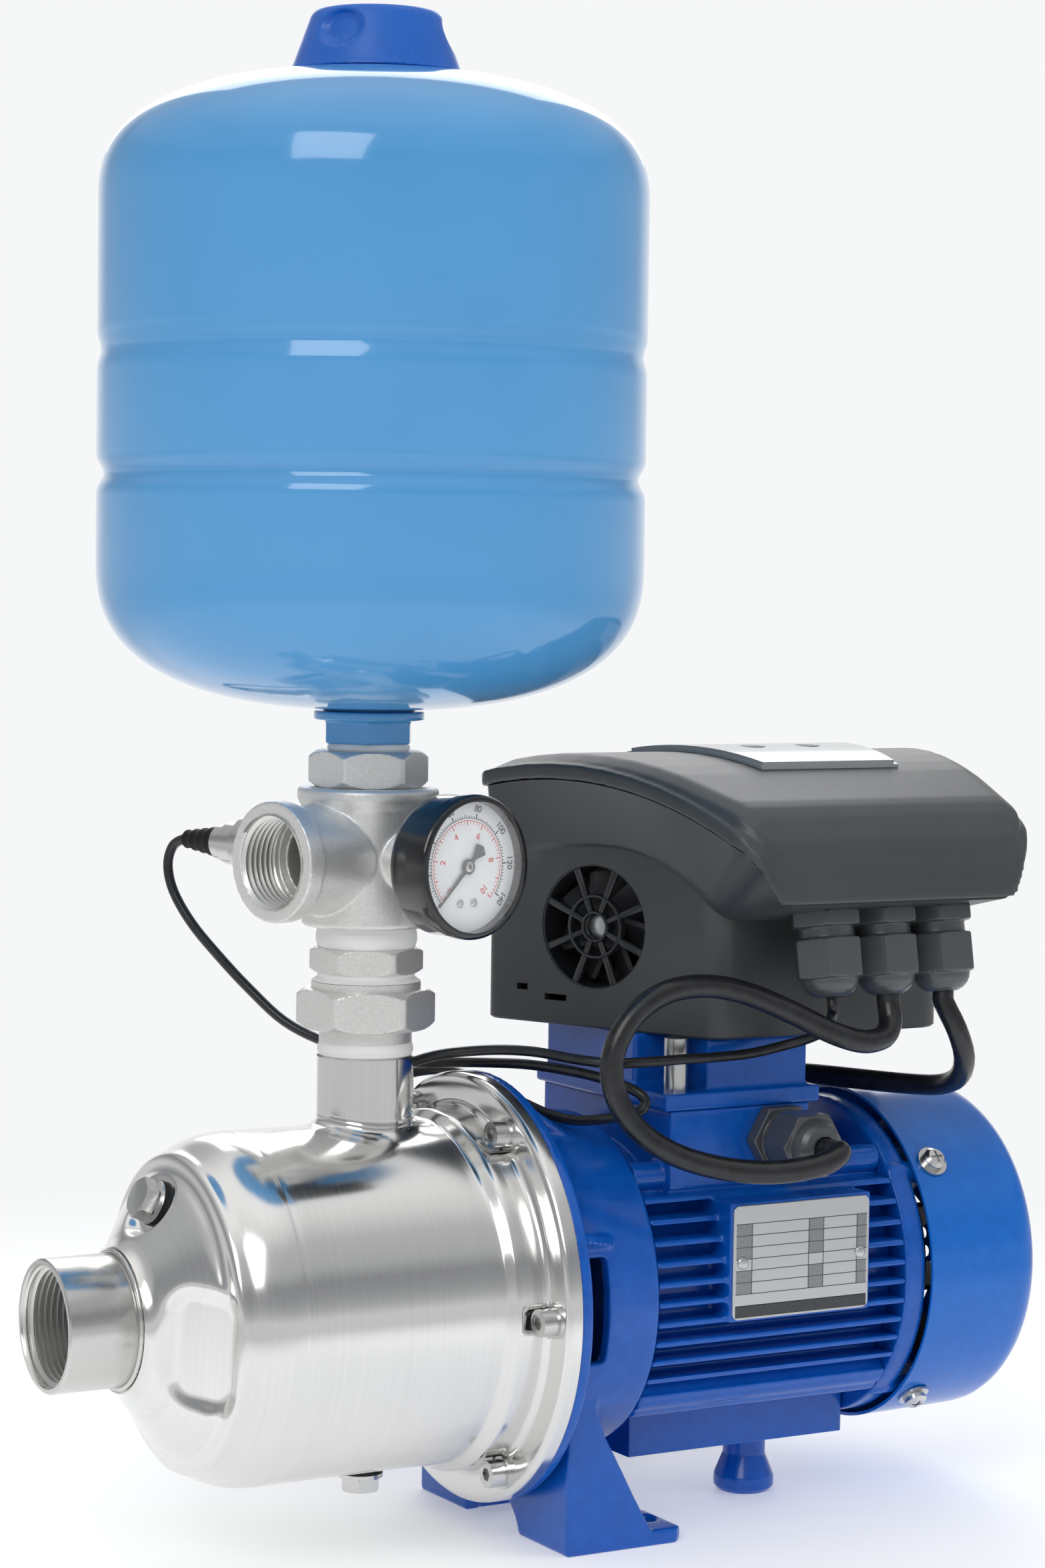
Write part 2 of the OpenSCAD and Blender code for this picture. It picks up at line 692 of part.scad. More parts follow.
module motor_frame() {
    color("#1a4dae") difference() {
        union() {
            on_axis() translate([0, 0, frame_x]) cylinder(r = frame_out_r, h = frame_len);
            intersection() {
                on_axis() translate([0, 0, frame_x]) cylinder(r = fin_r, h = frame_len);
                union() {
                    for (i = [0 : fin_count - 1])
                        translate([frame_x, -fin_r, axis_z + top_fin_z - i * fin_pitch - fin_t / 2])
                            cube([frame_len, 2 * fin_r, fin_t]);
                }
            }
            around(4, tie_clock) translate([tie_circle_r, 0, frame_x]) cylinder(r = tie_boss_r, h = frame_len);
            translate([frame_x + 2 * rail_end, -rail_half_w, axis_z - rail_drop])
                cube([frame_len - 2 * rail_end - cut, 2 * rail_half_w, rail_h]);
            translate([plate_mid_x - plate_w / 2 - cut, -plate_pad_y, axis_z + plate_mid_z - plate_h / 2 - cut])
                cube([plate_w + 2 * cut, plate_pad_y - frame_out_r + 4 * box_wall, plate_h + 2 * cut]);
            translate([box_x - box_half_x, -box_half_y, axis_z + box_bottom])
                cube([2 * box_half_x, 2 * box_half_y, box_top - box_bottom]);
        }
        on_axis() translate([0, 0, frame_x - cut]) cylinder(r = frame_in_r, h = frame_len + 2 * cut);
        translate([box_x - box_half_x + box_wall, -box_half_y + box_wall, axis_z + box_floor])
            cube([2 * (box_half_x - box_wall), 2 * (box_half_y - box_wall), box_top - box_floor + cut]);
        translate([box_gland_x, -box_half_y - cut, box_gland_z]) rotate([-90, 0, 0])
            cylinder(r = gland_hole_r, h = box_wall + 2 * cut);
        around(4, tie_clock) translate([tie_circle_r, 0, frame_x - cut])
            cylinder(r = tie_r + gap, h = frame_len + 2 * cut);
    }
}

winding_len = 16;
winding_t = 12;
air_gap = 0.5;
slot_count = 24;
module stator_core() {
    color("#7d8084") difference() {
        on_axis() translate([0, 0, core_x]) ring(stator_r, rotor_r + air_gap, core_len);
        around(slot_count) translate([rotor_r + air_gap + cut, -cut, core_x - cut])
            cube([winding_t, 2 * cut, core_len + 2 * cut]);
    }
}

module stator_winding() {
    inner_r = rotor_r + 3 * air_gap + cut;
    color("#b3622b") for (x = [core_x - winding_len, core_x + core_len])
        spun([[x, inner_r + cut], [x + 2 * cut, inner_r], [x + winding_len - 2 * cut, inner_r],
            [x + winding_len, inner_r + cut], [x + winding_len, inner_r + winding_t - cut],
            [x + winding_len - 2 * cut, inner_r + winding_t], [x + 2 * cut, inner_r + winding_t],
            [x, inner_r + winding_t - cut]]);
}

module rotor_core() {
    color("#8b8e92") on_axis() translate([0, 0, core_x]) ring(rotor_r, shoulder_shaft_r + fit, core_len);
}

// Rear end shield: closes the frame, holds the rear bearing, and has lugs for the fan cover
lug_r = 4.4;
lug_len = 14;
cover_wall = 1.2;
cover_clock = 50.5;
lug_circle_r = cover_r - cover_wall - 3 * gap - lug_r;
cover_screw_r = 2;
cover_screw_x = cover_x + 9;
module rear_end_shield() {
    color("#1d52b5") difference() {
        union() {
            on_axis() translate([0, 0, shield_x]) cylinder(r = fin_r, h = shield_t);
            around(4, cover_clock) translate([lug_circle_r, 0, shield_x + cut]) {
                cylinder(r = lug_r, h = shield_t + lug_len);
                translate([-2 * lug_r, -lug_r, 0]) cube([2 * lug_r, 2 * lug_r, shield_t + lug_len / 2]);
            }
            on_axis() translate([0, 0, rear_bearing_x])
                cylinder(r = bearing_r + hub_wall, h = bearing_w + bearing_lip);
        }
        on_axis() translate([0, 0, rear_bearing_x - cut]) cylinder(r = bearing_r + fit / 2, h = bearing_w + cut);
        on_axis() translate([0, 0, rear_bearing_x]) cylinder(r = seat_r + cut, h = 2 * bearing_w);
        around(4, tie_clock) translate([tie_circle_r, 0, shield_x - cut])
            cylinder(r = tie_r + fit, h = shield_t + 2 * cut);
        around(4, cover_clock) translate([cover_r - 2 * lug_r - cut, 0, cover_screw_x]) rotate([0, 90, 0])
            cylinder(r = cover_screw_r + fit, h = 2 * lug_r);
    }
}

tie_head_h = 4;
module tie_bolts() {
    color("#8d9194") around(4, tie_clock) translate([tie_circle_r, 0, frame_x - wall_t + 2 * cut]) {
        cylinder(r = tie_r, h = wall_t + frame_len + shield_t);
        translate([0, 0, wall_t + frame_len + shield_t - 2 * cut])
            hex_bar(3.2 * tie_r, tie_head_h, tie_r / 4);
    }
}

fan_r = 47;
fan_hub_r = 13;
vane_t = 2;
module motor_fan() {
    color("#2c2d30") on_axis() translate([0, 0, fan_x]) {
        ring(fan_hub_r, shaft_r + fit, fan_len);
        ring(fan_r - vane_t, fan_hub_r - vane_t, vane_t);
        for (i = [1 : fan_vanes]) rotate([0, 0, i * 360 / fan_vanes])
            translate([fan_hub_r - vane_t / 2, -vane_t / 2, vane_t / 2])
                cube([fan_r - fan_hub_r, vane_t, fan_len - vane_t]);
    }
}

// Fan cover: deep drawn sheet with round rear shoulders and a slotted intake
cover_slots = 12;
slot_w = 4.5;
slot_in_r = 14;
slot_out_r = 42;
cover_taper = 1;
module fan_cover() {
    outer = concat([[cover_x, cover_r]], arc(cover_end_x - cover_round, cover_r - cover_taper - cover_round,
        cover_round, 90, 0, 6));
    inner = arc(cover_end_x - cover_round, cover_r - cover_taper - cover_round, cover_round - cover_wall,
        0, 90, 6);
    color("#1f56bd") difference() {
        spun(concat(outer, [[cover_end_x, 0], [cover_end_x - cover_wall, 0]], inner,
            [[cover_x, cover_r - cover_wall]]));
        around(cover_slots) {
            translate([slot_in_r, -slot_w / 2, cover_end_x - cover_round])
                cube([slot_out_r - slot_in_r, slot_w, cover_round + cut]);
            for (r = [slot_in_r, slot_out_r]) translate([r, 0, cover_end_x - cover_round])
                cylinder(r = slot_w / 2, h = cover_round + cut);
        }
        around(4, cover_clock) translate([cover_r - 3 * cover_wall, 0, cover_screw_x]) rotate([0, 90, 0])
            cylinder(r = cover_screw_r + fit, h = 6 * cover_wall);
    }
}

module fan_cover_screws() {
    washer_top = cover_screw_r / 2;
    color("#c2c4c6") around(4, cover_clock) translate([cover_r, 0, cover_screw_x]) rotate([0, 90, 0]) {
        translate([0, 0, -2 * lug_r]) cylinder(r = cover_screw_r, h = 2 * lug_r + washer_top);
        difference() {
            rotate_extrude() polygon([[0, washer_top], [2.2 * cover_screw_r, washer_top],
                [2.2 * cover_screw_r, 1.6 * cover_screw_r], [1.6 * cover_screw_r, 2.2 * cover_screw_r],
                [0, 2.3 * cover_screw_r]]);
            for (turn = [0, 90]) rotate([0, 0, turn]) translate([-1.2 * cover_screw_r, -cover_screw_r / 5,
                1.6 * cover_screw_r]) cube([2.4 * cover_screw_r, cover_screw_r / 2.5, cover_screw_r]);
        }
        ring(3 * cover_screw_r, cover_screw_r + fit, washer_top);
    }
}

name_t = 0.8;
rivet_r = 1.5;
rivet_inset = 4;
module nameplate() {
    color("#c3c5c7") translate([plate_mid_x, -plate_pad_y, axis_z + plate_mid_z]) rotate([90, 0, 0]) {
        difference() {
            translate([-plate_w / 2, -plate_h / 2, 0]) cube([plate_w, plate_h, name_t]);
            for (x = [-1, 1]) translate([x * (plate_w / 2 - rivet_inset), 0, -cut])
                cylinder(r = rivet_r + fit, h = name_t + 2 * cut);
        }
        for (x = [-1, 1]) translate([x * (plate_w / 2 - rivet_inset), 0, 0]) {
            cylinder(r = rivet_r, h = name_t);
            translate([0, 0, name_t]) cylinder(r1 = 1.6 * rivet_r, r2 = rivet_r, h = name_t);
        }
    }
}

// Motor foot: a moulded cup screwed under the rail
motor_foot_x = 69;
motor_foot_r = 11.6;
motor_foot_top_r = 8.2;
motor_foot_h = axis_z - rail_drop;
motor_foot_rim = 6;
module motor_foot() {
    color("#17439b") translate([motor_foot_x, 0, 0]) rotate_extrude() polygon([[0, 0],
        [motor_foot_r - motor_foot_rim / 3, 0], [motor_foot_r, motor_foot_rim / 3],
        [motor_foot_r, motor_foot_rim], [motor_foot_top_r, motor_foot_h * 0.6],
        [motor_foot_top_r, motor_foot_h], [0, motor_foot_h]]);
}

// Adapter: lid of the terminal box with a block that carries the controller, bolted at two opposite corners
adapter_flange_t = 6.3;
adapter_z = axis_z + box_top;
adapter_top_z = axis_z + housing_z;
block_half_y = box_half_y - 2;
notch_x = 17;
notch_y = 24;
notch_floor = 5;
bolt_inset = 8.5;
adapter_bolt_r = 4.65;
stud_r = 2.5;
duct_half = 14;
adapter_lip = 3;

module at_adapter_bolts() {
    for (s = [-1, 1])
        translate([box_x + s * (box_half_x - bolt_inset), s * (block_half_y - bolt_inset), adapter_z])
            children();
}

module controller_adapter() {
    color("#1b4fb0") difference() {
        union() {
            translate([box_x - box_half_x - adapter_lip, -box_half_y - cut, adapter_z])
                cube([2 * (box_half_x + adapter_lip) + cut, 2 * (box_half_y + cut), adapter_flange_t]);
            difference() {
                translate([box_x - box_half_x, -block_half_y, adapter_z + cut])
                    cube([2 * box_half_x, 2 * block_half_y, adapter_top_z - adapter_z - cut]);
                for (s = [-1, 1])
                    translate([box_x + s * box_half_x - notch_x / 2 * (1 + s) + (s > 0 ? 0 : -cut),
                        s * block_half_y - notch_y / 2 * (1 + s) + (s > 0 ? 0 : -cut),
                        adapter_z + adapter_flange_t])
                        cube([notch_x + cut, notch_y + cut, adapter_top_z - adapter_z]);
            }
        }
        translate([box_x - duct_half, -duct_half, adapter_z - cut])
            cube([2 * duct_half, 2 * duct_half, adapter_top_z - adapter_z + 2 * cut]);
        at_adapter_bolts() translate([0, 0, -cut]) cylinder(r = stud_r + fit, h = adapter_flange_t + 2 * cut);
    }
}

module adapter_bolts() {
    color("#b7babc") at_adapter_bolts() {
        cylinder(r = stud_r, h = adapter_flange_t);
        translate([0, 0, adapter_flange_t])
            cylinder(r = adapter_bolt_r, h = adapter_top_z - adapter_z - adapter_flange_t);
    }
}

// Cable gland along z: threaded stub below the face, fixed hexagon, clamping nut and a round mouth
gland_af = 24;
flange_share = 0.25;
waist_share = 0.18;
nut_share = 0.6;
mouth_share = 0.3;
gland_l = gland_af * (flange_share + waist_share + nut_share + mouth_share);
module gland(cable_r, af, stub) {
    flange_h = af * flange_share;
    waist_h = af * waist_share;
    nut_h = af * nut_share;
    mouth_h = af * mouth_share;
    bore = cable_r + gap;
    difference() {
        union() {
            translate([0, 0, -stub]) cylinder(r = gland_hole_r - fit, h = stub + flange_h / 2);
            hex_bar(af, flange_h, af / 20);
            translate([0, 0, flange_h]) cylinder(r = af * 0.42, h = waist_h);
            translate([0, 0, flange_h + waist_h]) hex_bar(af * 0.96, nut_h, af / 20);
            translate([0, 0, flange_h + waist_h + nut_h]) rotate_extrude()
                polygon(concat([[0, -cut]], [[af * 0.44, -cut]],
                    arc(af * 0.44 - mouth_h, 0, mouth_h, 0, 90, 5), [[0, mouth_h]]));
        }
        translate([0, 0, -stub - cut]) cylinder(r = bore, h = stub + flange_h + waist_h + nut_h + mouth_h + 2 * cut);
    }
}

module motor_cable_gland() {
    color("#1b1b1d") translate([box_gland_x, -box_half_y, box_gland_z]) rotate([90, 0, 0])
        gland(motor_cable_d / 2, gland_af, box_wall);
}

// Controller: a moulded housing that flares to the back, an overhanging nose, and an arched lid
housing_front_y = 49;
ledge_r = 56;
ledge_top = 68;
ledge_y = -3;
ledge_back_y = 22;
split_r = 195;
split_drop = 9.7;
split_y = 5;
crown_r = 195;
crown_y = 2;
nose_round = 20;
nose_under = 44.5;
nose_rise = 8.5;
band_h = 6;
lid_step = 3;
plan_corner = 12;
nose_corner = 20;
back_corner = 5;
lid_inset = 1.5;
ctrl_z = axis_z + housing_z;
split_end_y = 84;
lid_seam = controller_h - 50;
split_top = controller_h - split_drop;

// Outline of a controller plan: half widths at front and back, with round corners
module plan(front_hw, back_hw, front_y, back_y, front_round, inset = 0) {
    a = atan((back_hw - front_hw) / (front_y + back_y));
    front_r = max(front_round - inset, back_corner);
    back_r = max(back_corner - inset, cut);
    hull() for (s = [-1, 1]) {
        translate([ctrl_x + s * (front_hw + (inset + front_r) * (tan(a) - 1 / cos(a))), -front_y + inset + front_r])
            circle(r = front_r, $fn = 40);
        translate([ctrl_x + s * (back_hw - (inset + back_r) * (tan(a) + 1 / cos(a))), back_y - inset - back_r])
            circle(r = back_r, $fn = 24);
    }
}

// A slice across the controller, from points of y and height above the housing floor
module across(points) {
    translate([ctrl_x - 2 * lid_back_hw, 0, ctrl_z]) rotate([90, 0, 90])
        linear_extrude(4 * lid_back_hw) polygon(points);
}

function arch(y, top, y0, r) = top - r + sqrt(pow(r, 2) - pow(y - y0, 2));

// Points of an arch from the back to the front
function arch_line(top, y0, r, from, to, steps = 10) =
    [for (i = [0 : steps]) let (y = from + (to - from) * i / steps) [y, arch(y, top, y0, r)]];

module lid_plan(inset) {
    translate([0, 0, ctrl_z]) linear_extrude(2 * controller_h)
        plan(lid_front_hw, lid_back_hw, lid_front_y, housing_back_y, nose_corner, inset);
}

module housing_plan(inset) {
    translate([0, 0, ctrl_z + inset]) linear_extrude(2 * controller_h)
        plan(housing_front_hw, housing_back_hw, housing_front_y, housing_back_y - lid_inset, plan_corner, inset);
}

nose_in = lid_front_y - lid_inset;
split_arch = arch_line(split_top, split_y, split_r, housing_back_y + cut, -split_end_y);
split_line = concat(split_arch, [[-nose_in + lid_step, lid_seam + 4 * lid_step], [-nose_in, lid_seam + cut],
    [-lid_front_y - cut, lid_seam - 4 * lid_step]]);

function under(points, floor_h) = concat(points, [[points[len(points) - 1][0], floor_h], [points[0][0], floor_h]]);

// Below the split: a prism on the housing's plan, and a skin that flares out from its ledge to the lid's plan
module housing_form(inset, drop) {
    split = [for (p = split_line) [p[0], p[1] - drop]];
    intersection() {
        housing_plan(inset);
        across(under(split, -cut));
    }
    hull() {
        intersection() {
            lid_plan(lid_inset + inset);
            across(concat([for (i = [0 : len(split) - 2]) split[i]],
                [for (i = [len(split_arch) - 1 : -1 : 0]) [split[i][0], split[i][1] - lid_step]]));
        }
        intersection() {
            lid_plan(lid_step + inset);
            across([[-lid_front_y - cut, nose_under + nose_rise + inset], [-housing_front_y, nose_under + inset],
                [-housing_front_y, nose_under + inset + cut], [-lid_front_y - cut, nose_under + nose_rise +
                inset + cut]]);
        }
        intersection() {
            housing_plan(inset);
            across(concat(arch_line(ledge_top, ledge_y, ledge_r, ledge_back_y, -housing_front_y + lid_step, 8),
                [[-housing_front_y - cut, nose_under + inset], [ledge_back_y, nose_under + inset]]));
        }
    }
}

// The side wall leans out to the back, and the grille stands in it
side_angle = atan((housing_back_hw - housing_front_hw) / (housing_front_y + housing_back_y - lid_inset));
grille_y = 1.5;
grille_z = ctrl_z + 38;
module on_side(depth = 0) {
    hw = housing_front_hw + (housing_front_y + grille_y) * tan(side_angle);
    translate([ctrl_x - hw, grille_y, grille_z]) rotate([0, 0, side_angle]) rotate([0, -90, 0])
        translate([0, 0, depth]) children();
}

grille_hub_r = 5.5;
grille_ring_r = 11.5;
spoke_w = 2.6;
grille_rim = 1.5;
module grille_cut() {
    on_side(-2 * shell_wall) difference() {
        cylinder(r = grille_r, h = 3 * shell_wall);
        translate([0, 0, shell_wall]) {
            cylinder(r = grille_hub_r, h = shell_wall);
            ring(grille_ring_r + grille_rim / 2, grille_ring_r - grille_rim / 2, shell_wall);
            for (i = [1 : spoke_count]) rotate([0, 0, (i + 0.5) * 360 / spoke_count])
                translate([grille_hub_r - cut, -spoke_w / 2, 0]) cube([grille_r, spoke_w, shell_wall]);
        }
    }
}

vent_w = 10;
vent_h = 2.4;
vent_places = [[-29, 12], [-26, 30]];
module controller_housing() {
    color("#26282a") difference() {
        housing_form(0, 0);
        housing_form(shell_wall, -2 * shell_wall);
        grille_cut();
        for (i = [0, 1]) on_side(-2 * shell_wall) translate(vent_places[i])
            cube([vent_h, vent_w / (i + 1), 3 * shell_wall]);
        at_glands() translate([0, 0, -2 * shell_wall]) cylinder(r = gland_hole_r, h = 3 * shell_wall);
    }
}

// Glands hang from the sloping floor of the nose
gland_pitch = 25;
gland_shift = 6;
gland_y = 72;
nose_slope = atan(nose_rise / (lid_front_y - housing_front_y + cut));
module at_glands() {
    z = ctrl_z + nose_under + (gland_y - housing_front_y) * tan(nose_slope);
    for (i = [-1 : 1]) translate([ctrl_x + gland_shift + i * gland_pitch, -gland_y, z])
        rotate([180 - nose_slope, 0, 0]) children();
}

module cable_glands() {
    color("#1b1b1d") at_glands() gland(motor_cable_d / 2, gland_af, shell_wall);
}

module crown_slice(rise, back, front) {
    across(under(concat(arch_line(controller_h - lid_step + rise, crown_y, crown_r, back + cut,
        -front + nose_round), arc(-front + nose_round, arch(-front + nose_round, controller_h - lid_step + rise,
        crown_y, crown_r) - nose_round, nose_round, 90, 180, 6)), lid_seam));
}

module lid_form(inset) {
    intersection() {
        lid_plan(inset);
        across(under([for (p = split_line) [p[0], max(p[1] + band_h - inset, lid_seam + cut)]], lid_seam));
    }
    hull() {
        intersection() {
            lid_plan(lid_step + inset);
            crown_slice(-inset, housing_back_y, lid_front_y - lid_step - inset);
        }
        intersection() {
            lid_plan(3 * lid_step + inset);
            crown_slice(lid_step - inset, housing_back_y, lid_front_y - 2 * lid_step - inset);
        }
    }
}

module controller_lid() {
    color("#303234") difference() {
        lid_form(0);
        lid_form(shell_wall);
        across(under(split_line, -cut));
    }
}

// Display panel: a raised glossy plate that follows the crown
panel_front_y = 40;
panel_back_y = 34;
panel_front_hw = 31;
panel_back_hw = 44;
panel_rise = 2.5;
key_r = 4.5;
key_pitch = 12.5;
key_y = -6;
key_travel = 0.6;
panel_x = ctrl_x + 5;

module panel_plan(inset) {
    translate([panel_x, 0, ctrl_z]) linear_extrude(2 * controller_h)
        polygon([[-panel_front_hw + inset, -panel_front_y + inset], [panel_front_hw - inset, -panel_front_y + inset],
            [panel_back_hw - inset, panel_back_y - inset], [-panel_back_hw + inset, panel_back_y - inset]]);
}

function crown_band(high) = concat(
    arch_line(controller_h + high, crown_y, crown_r, panel_back_y + cut, -panel_front_y - cut),
    arch_line(controller_h + fit, crown_y, crown_r, -panel_front_y - cut, panel_back_y + cut));

module key_well(r, low) {
    for (s = [-1, 1]) translate([panel_x + s * key_pitch, key_y, ctrl_z + controller_h + low])
        cylinder(r = r, h = controller_h);
}

module display_panel() {
    color("#9ea0a1") difference() {
        union() {
            intersection() {
                panel_plan(0);
                across(crown_band(panel_rise / 2));
            }
            intersection() {
                panel_plan(panel_rise / 2);
                across(crown_band(panel_rise));
            }
        }
        key_well(key_r + gap, 0.2 * panel_rise);
    }
}

module key(side) {
    color("#55585a") translate([panel_x + side * key_pitch, key_y, ctrl_z + controller_h + 0.2 * panel_rise +
        key_travel + gap / 3]) cylinder(r = key_r, h = 0.7 * panel_rise - key_travel);
}

module left_key() {
    key(-1);
}

module right_key() {
    key(1);
}

// Inside the controller: a finned heat sink, the circuit board and a cooling fan behind the grille
sink_t = 5;
sink_half_x = 42;
sink_half_y = 34;
sink_fin_h = 22;
sink_fins = 11;
module heat_sink() {
    color("#cfd2d4") translate([ctrl_x, 0, ctrl_z + shell_wall]) {
        translate([-sink_half_x, -sink_half_y, 0]) cube([2 * sink_half_x, 2 * sink_half_y, sink_t]);
        for (i = [0 : sink_fins - 1])
            translate([-sink_half_x, -sink_half_y + i * (2 * sink_half_y - vane_t) / (sink_fins - 1), 0])
                cube([2 * sink_half_x, vane_t, sink_t + sink_fin_h]);
    }
}

board_t = 1.6;
capacitor_r = 9;
capacitor_h = 24;
module circuit_board() {
    color("#2e6b3c") translate([ctrl_x, 0, ctrl_z + shell_wall + sink_t + sink_fin_h]) {
        translate([-sink_half_x, -sink_half_y, 0]) cube([2 * sink_half_x, 2 * sink_half_y, board_t]);
        for (i = [-1 : 1]) translate([i * 3 * capacitor_r, sink_half_y / 2, board_t])
            cylinder(r = capacitor_r, h = capacitor_h);
    }
}

fan_frame_half = grille_r + 1.5;
fan_frame_t = 15;
fan_wall = 1.5;
small_hub_r = 9;
small_fan_r = grille_r - fan_wall;
module cooling_fan_frame() {
    color("#232426") on_side(-shell_wall - gap - fan_frame_t) difference() {
        translate([-fan_frame_half, -fan_frame_half, 0])
            cube([2 * fan_frame_half, 2 * fan_frame_half, fan_frame_t]);
        translate([0, 0, fan_wall]) cylinder(r = grille_r - fan_wall / 2, h = fan_frame_t);
        difference() {
            translate([0, 0, -cut]) cylinder(r = grille_r - 2 * fan_wall, h = fan_frame_t);
            for (turn = [0, 90]) rotate([0, 0, turn]) translate([-grille_r, -fan_wall, -cut])
                cube([2 * grille_r, 2 * fan_wall, fan_frame_t]);
            cylinder(r = small_hub_r, h = fan_frame_t);
        }
    }
}

blade_n = 7;
blade_tilt = 40;
module cooling_fan_rotor() {
    color("#2b2c2e") on_side(-shell_wall - gap - fan_frame_t + fan_wall + gap) {
        cylinder(r = small_hub_r, h = fan_frame_t - 3 * fan_wall);
        intersection() {
            cylinder(r = small_fan_r - fan_wall, h = fan_frame_t - 3 * fan_wall);
            union() {
                for (i = [1 : blade_n]) rotate([0, 0, i * 360 / blade_n]) translate([small_hub_r / 2, 0,
                    fan_frame_t / 2 - fan_wall]) rotate([blade_tilt, 0, 0])
                        translate([0, -fan_frame_t / 2, -fan_wall / 2]) cube([grille_r, fan_frame_t, fan_wall]);
            }
        }
    }
}

// Riser: union, nipple and five-way body, sealed with thread tape
spigot_len = 12;
pipe_bore_r = 12.5;
tape_h = 4.8;
tail_z = riser_z + tape_h;
union_z = tail_z + tape_h;
lip_h = 3;
union_top_z = union_z + union_h;
cone_h = 5.5;
nipple_z = union_top_z + cone_h;
nipple_h = 9.4;
nipple_r = 16.4;
upper_tape_h = 7.6;
five_way_z = nipple_z + nipple_h + upper_tape_h;
five_way_top_z = five_way_z + five_way_h;
half_r = union_af / 2 - 2;
tail_spigot_r = discharge_bore_r - fit;

module on_riser(z) {
    translate([riser_x, 0, z]) children();
}

module pipe_union() {
    color("#b2afa9") {
        on_riser(0) difference() {
            union() {
                translate([0, 0, riser_z - spigot_len]) cylinder(r = tail_spigot_r, h = spigot_len + tape_h);
                translate([0, 0, tail_z]) cylinder(r = half_r - 3 * cut, h = union_z - tail_z + lip_h);
                translate([0, 0, union_z + lip_h]) cylinder(r = half_r - gap, h = lip_h);
            }
            translate([0, 0, axis_z]) cylinder(r = pipe_bore_r, h = union_z);
        }
        on_riser(union_z) difference() {
            hex_bar(union_af, union_h, cut);
            translate([0, 0, -cut]) cylinder(r = half_r - 2 * cut, h = union_h + 2 * cut);
            translate([0, 0, lip_h]) cylinder(r = half_r, h = union_h);
        }
        on_riser(union_z + 2 * lip_h) ring(half_r - gap, nipple_r + fit, union_h - 2 * lip_h + cone_h / 2);
    }
}

module hex_nipple() {
    color("#b2afa9") on_riser(nipple_z) difference() {
        union() {
            translate([0, 0, -spigot_len]) cylinder(r = nipple_r, h = spigot_len + nipple_h + upper_tape_h +
                spigot_len);
            hex_bar(nipple_af, nipple_h, cut);
        }
        translate([0, 0, -spigot_len - cut])
            cylinder(r = pipe_bore_r, h = 3 * spigot_len + nipple_h + upper_tape_h);
    }
}

// Rings of white tape that bulge from the threads
tape_t = 1.2;
module tape_ring(z, inner_r, h) {
    on_riser(z) rotate_extrude() polygon([[inner_r + fit, fit], [inner_r + tape_t, fit],
        [inner_r + 1.6 * tape_t, h / 3], [inner_r + 1.5 * tape_t, 2 * h / 3], [inner_r + tape_t, h],
        [inner_r + fit, h]]);
}

module thread_tape() {
    color("#f2f2ef") {
        tape_ring(riser_z, tail_spigot_r, tape_h);
        on_riser(union_top_z + cone_h / 2) rotate_extrude() polygon([[nipple_r + fit, 0], [half_r - gap, 0],
            [half_r - 2 * tape_t, cone_h / 4], [nipple_r + tape_t, cone_h / 2], [nipple_r + fit, cone_h / 2]]);
        tape_ring(nipple_z + nipple_h, nipple_r, upper_tape_h);
        tape_ring(bushing_top_z, tank_spigot_r, bushing_tape_h);
    }
}

rim_h = 4;
rim_out = 2;
outlet_r = 19.5;
outlet_ring_r = 21.5;
outlet_ring_h = 7;
thread_depth = 18;
side_boss_r = 11.5;
side_boss_reach = 30;
side_bore_r = 6.6;
branch_share = 0.494;
branch_z = five_way_z + branch_share * five_way_h;

// z of the child points along a branch: the gauge branch is 0, and the sensor branch is 180
module on_branch(turn) {
    on_riser(branch_z) rotate([0, 0, five_way_turn + turn]) rotate([90, 0, 0]) children();
}

module five_way_body() {
    color("#b5b1ab") difference() {
        union() {
            on_riser(0) rotate_extrude() polygon([[0, five_way_z], [five_way_r - cut, five_way_z],
                [five_way_r, five_way_z + cut], [five_way_r, five_way_top_z - 2 * rim_h],
                [five_way_r + rim_out, five_way_top_z - rim_h], [five_way_r + rim_out, five_way_top_z - cut],
                [five_way_r + rim_out - cut, five_way_top_z], [0, five_way_top_z]]);
            on_branch(-90) {
                cylinder(r = outlet_r, h = outlet_reach - cut);
                translate([0, 0, outlet_reach - outlet_ring_h]) cylinder(r = outlet_ring_r, h = outlet_ring_h);
            }
            for (turn = [0, 180]) on_branch(turn) cylinder(r = side_boss_r, h = side_boss_reach);
        }
        on_riser(five_way_z - cut) cylinder(r = nipple_r + fit, h = spigot_len + 2 * cut);
        on_riser(five_way_z) cylinder(r = pipe_bore_r + cut, h = five_way_h);
        on_riser(five_way_top_z - spigot_len - cut) cylinder(r = nipple_r + fit, h = spigot_len + 2 * cut);
        on_branch(-90) {
            cylinder(r = pipe_bore_r, h = outlet_reach);
            translate([0, 0, outlet_reach - thread_depth]) cylinder(r = outlet_bore_r, h = thread_depth + cut);
        }
        for (turn = [0, 180]) on_branch(turn) cylinder(r = side_bore_r, h = side_boss_reach + cut);
    }
}

bushing_af = 38;
bushing_h = 13;
bushing_tape_h = 2.6;
bushing_top_z = five_way_top_z + bushing_h;
tank_spigot_r = 13;
module tank_bushing() {
    color("#a9adb0") on_riser(five_way_top_z) difference() {
        union() {
            translate([0, 0, -spigot_len]) cylinder(r = nipple_r, h = spigot_len + cut);
            hex_bar(bushing_af, bushing_h, cut);
        }
        translate([0, 0, -spigot_len - cut])
            cylinder(r = tank_spigot_r + fit, h = spigot_len + bushing_h + 2 * cut);
    }
}

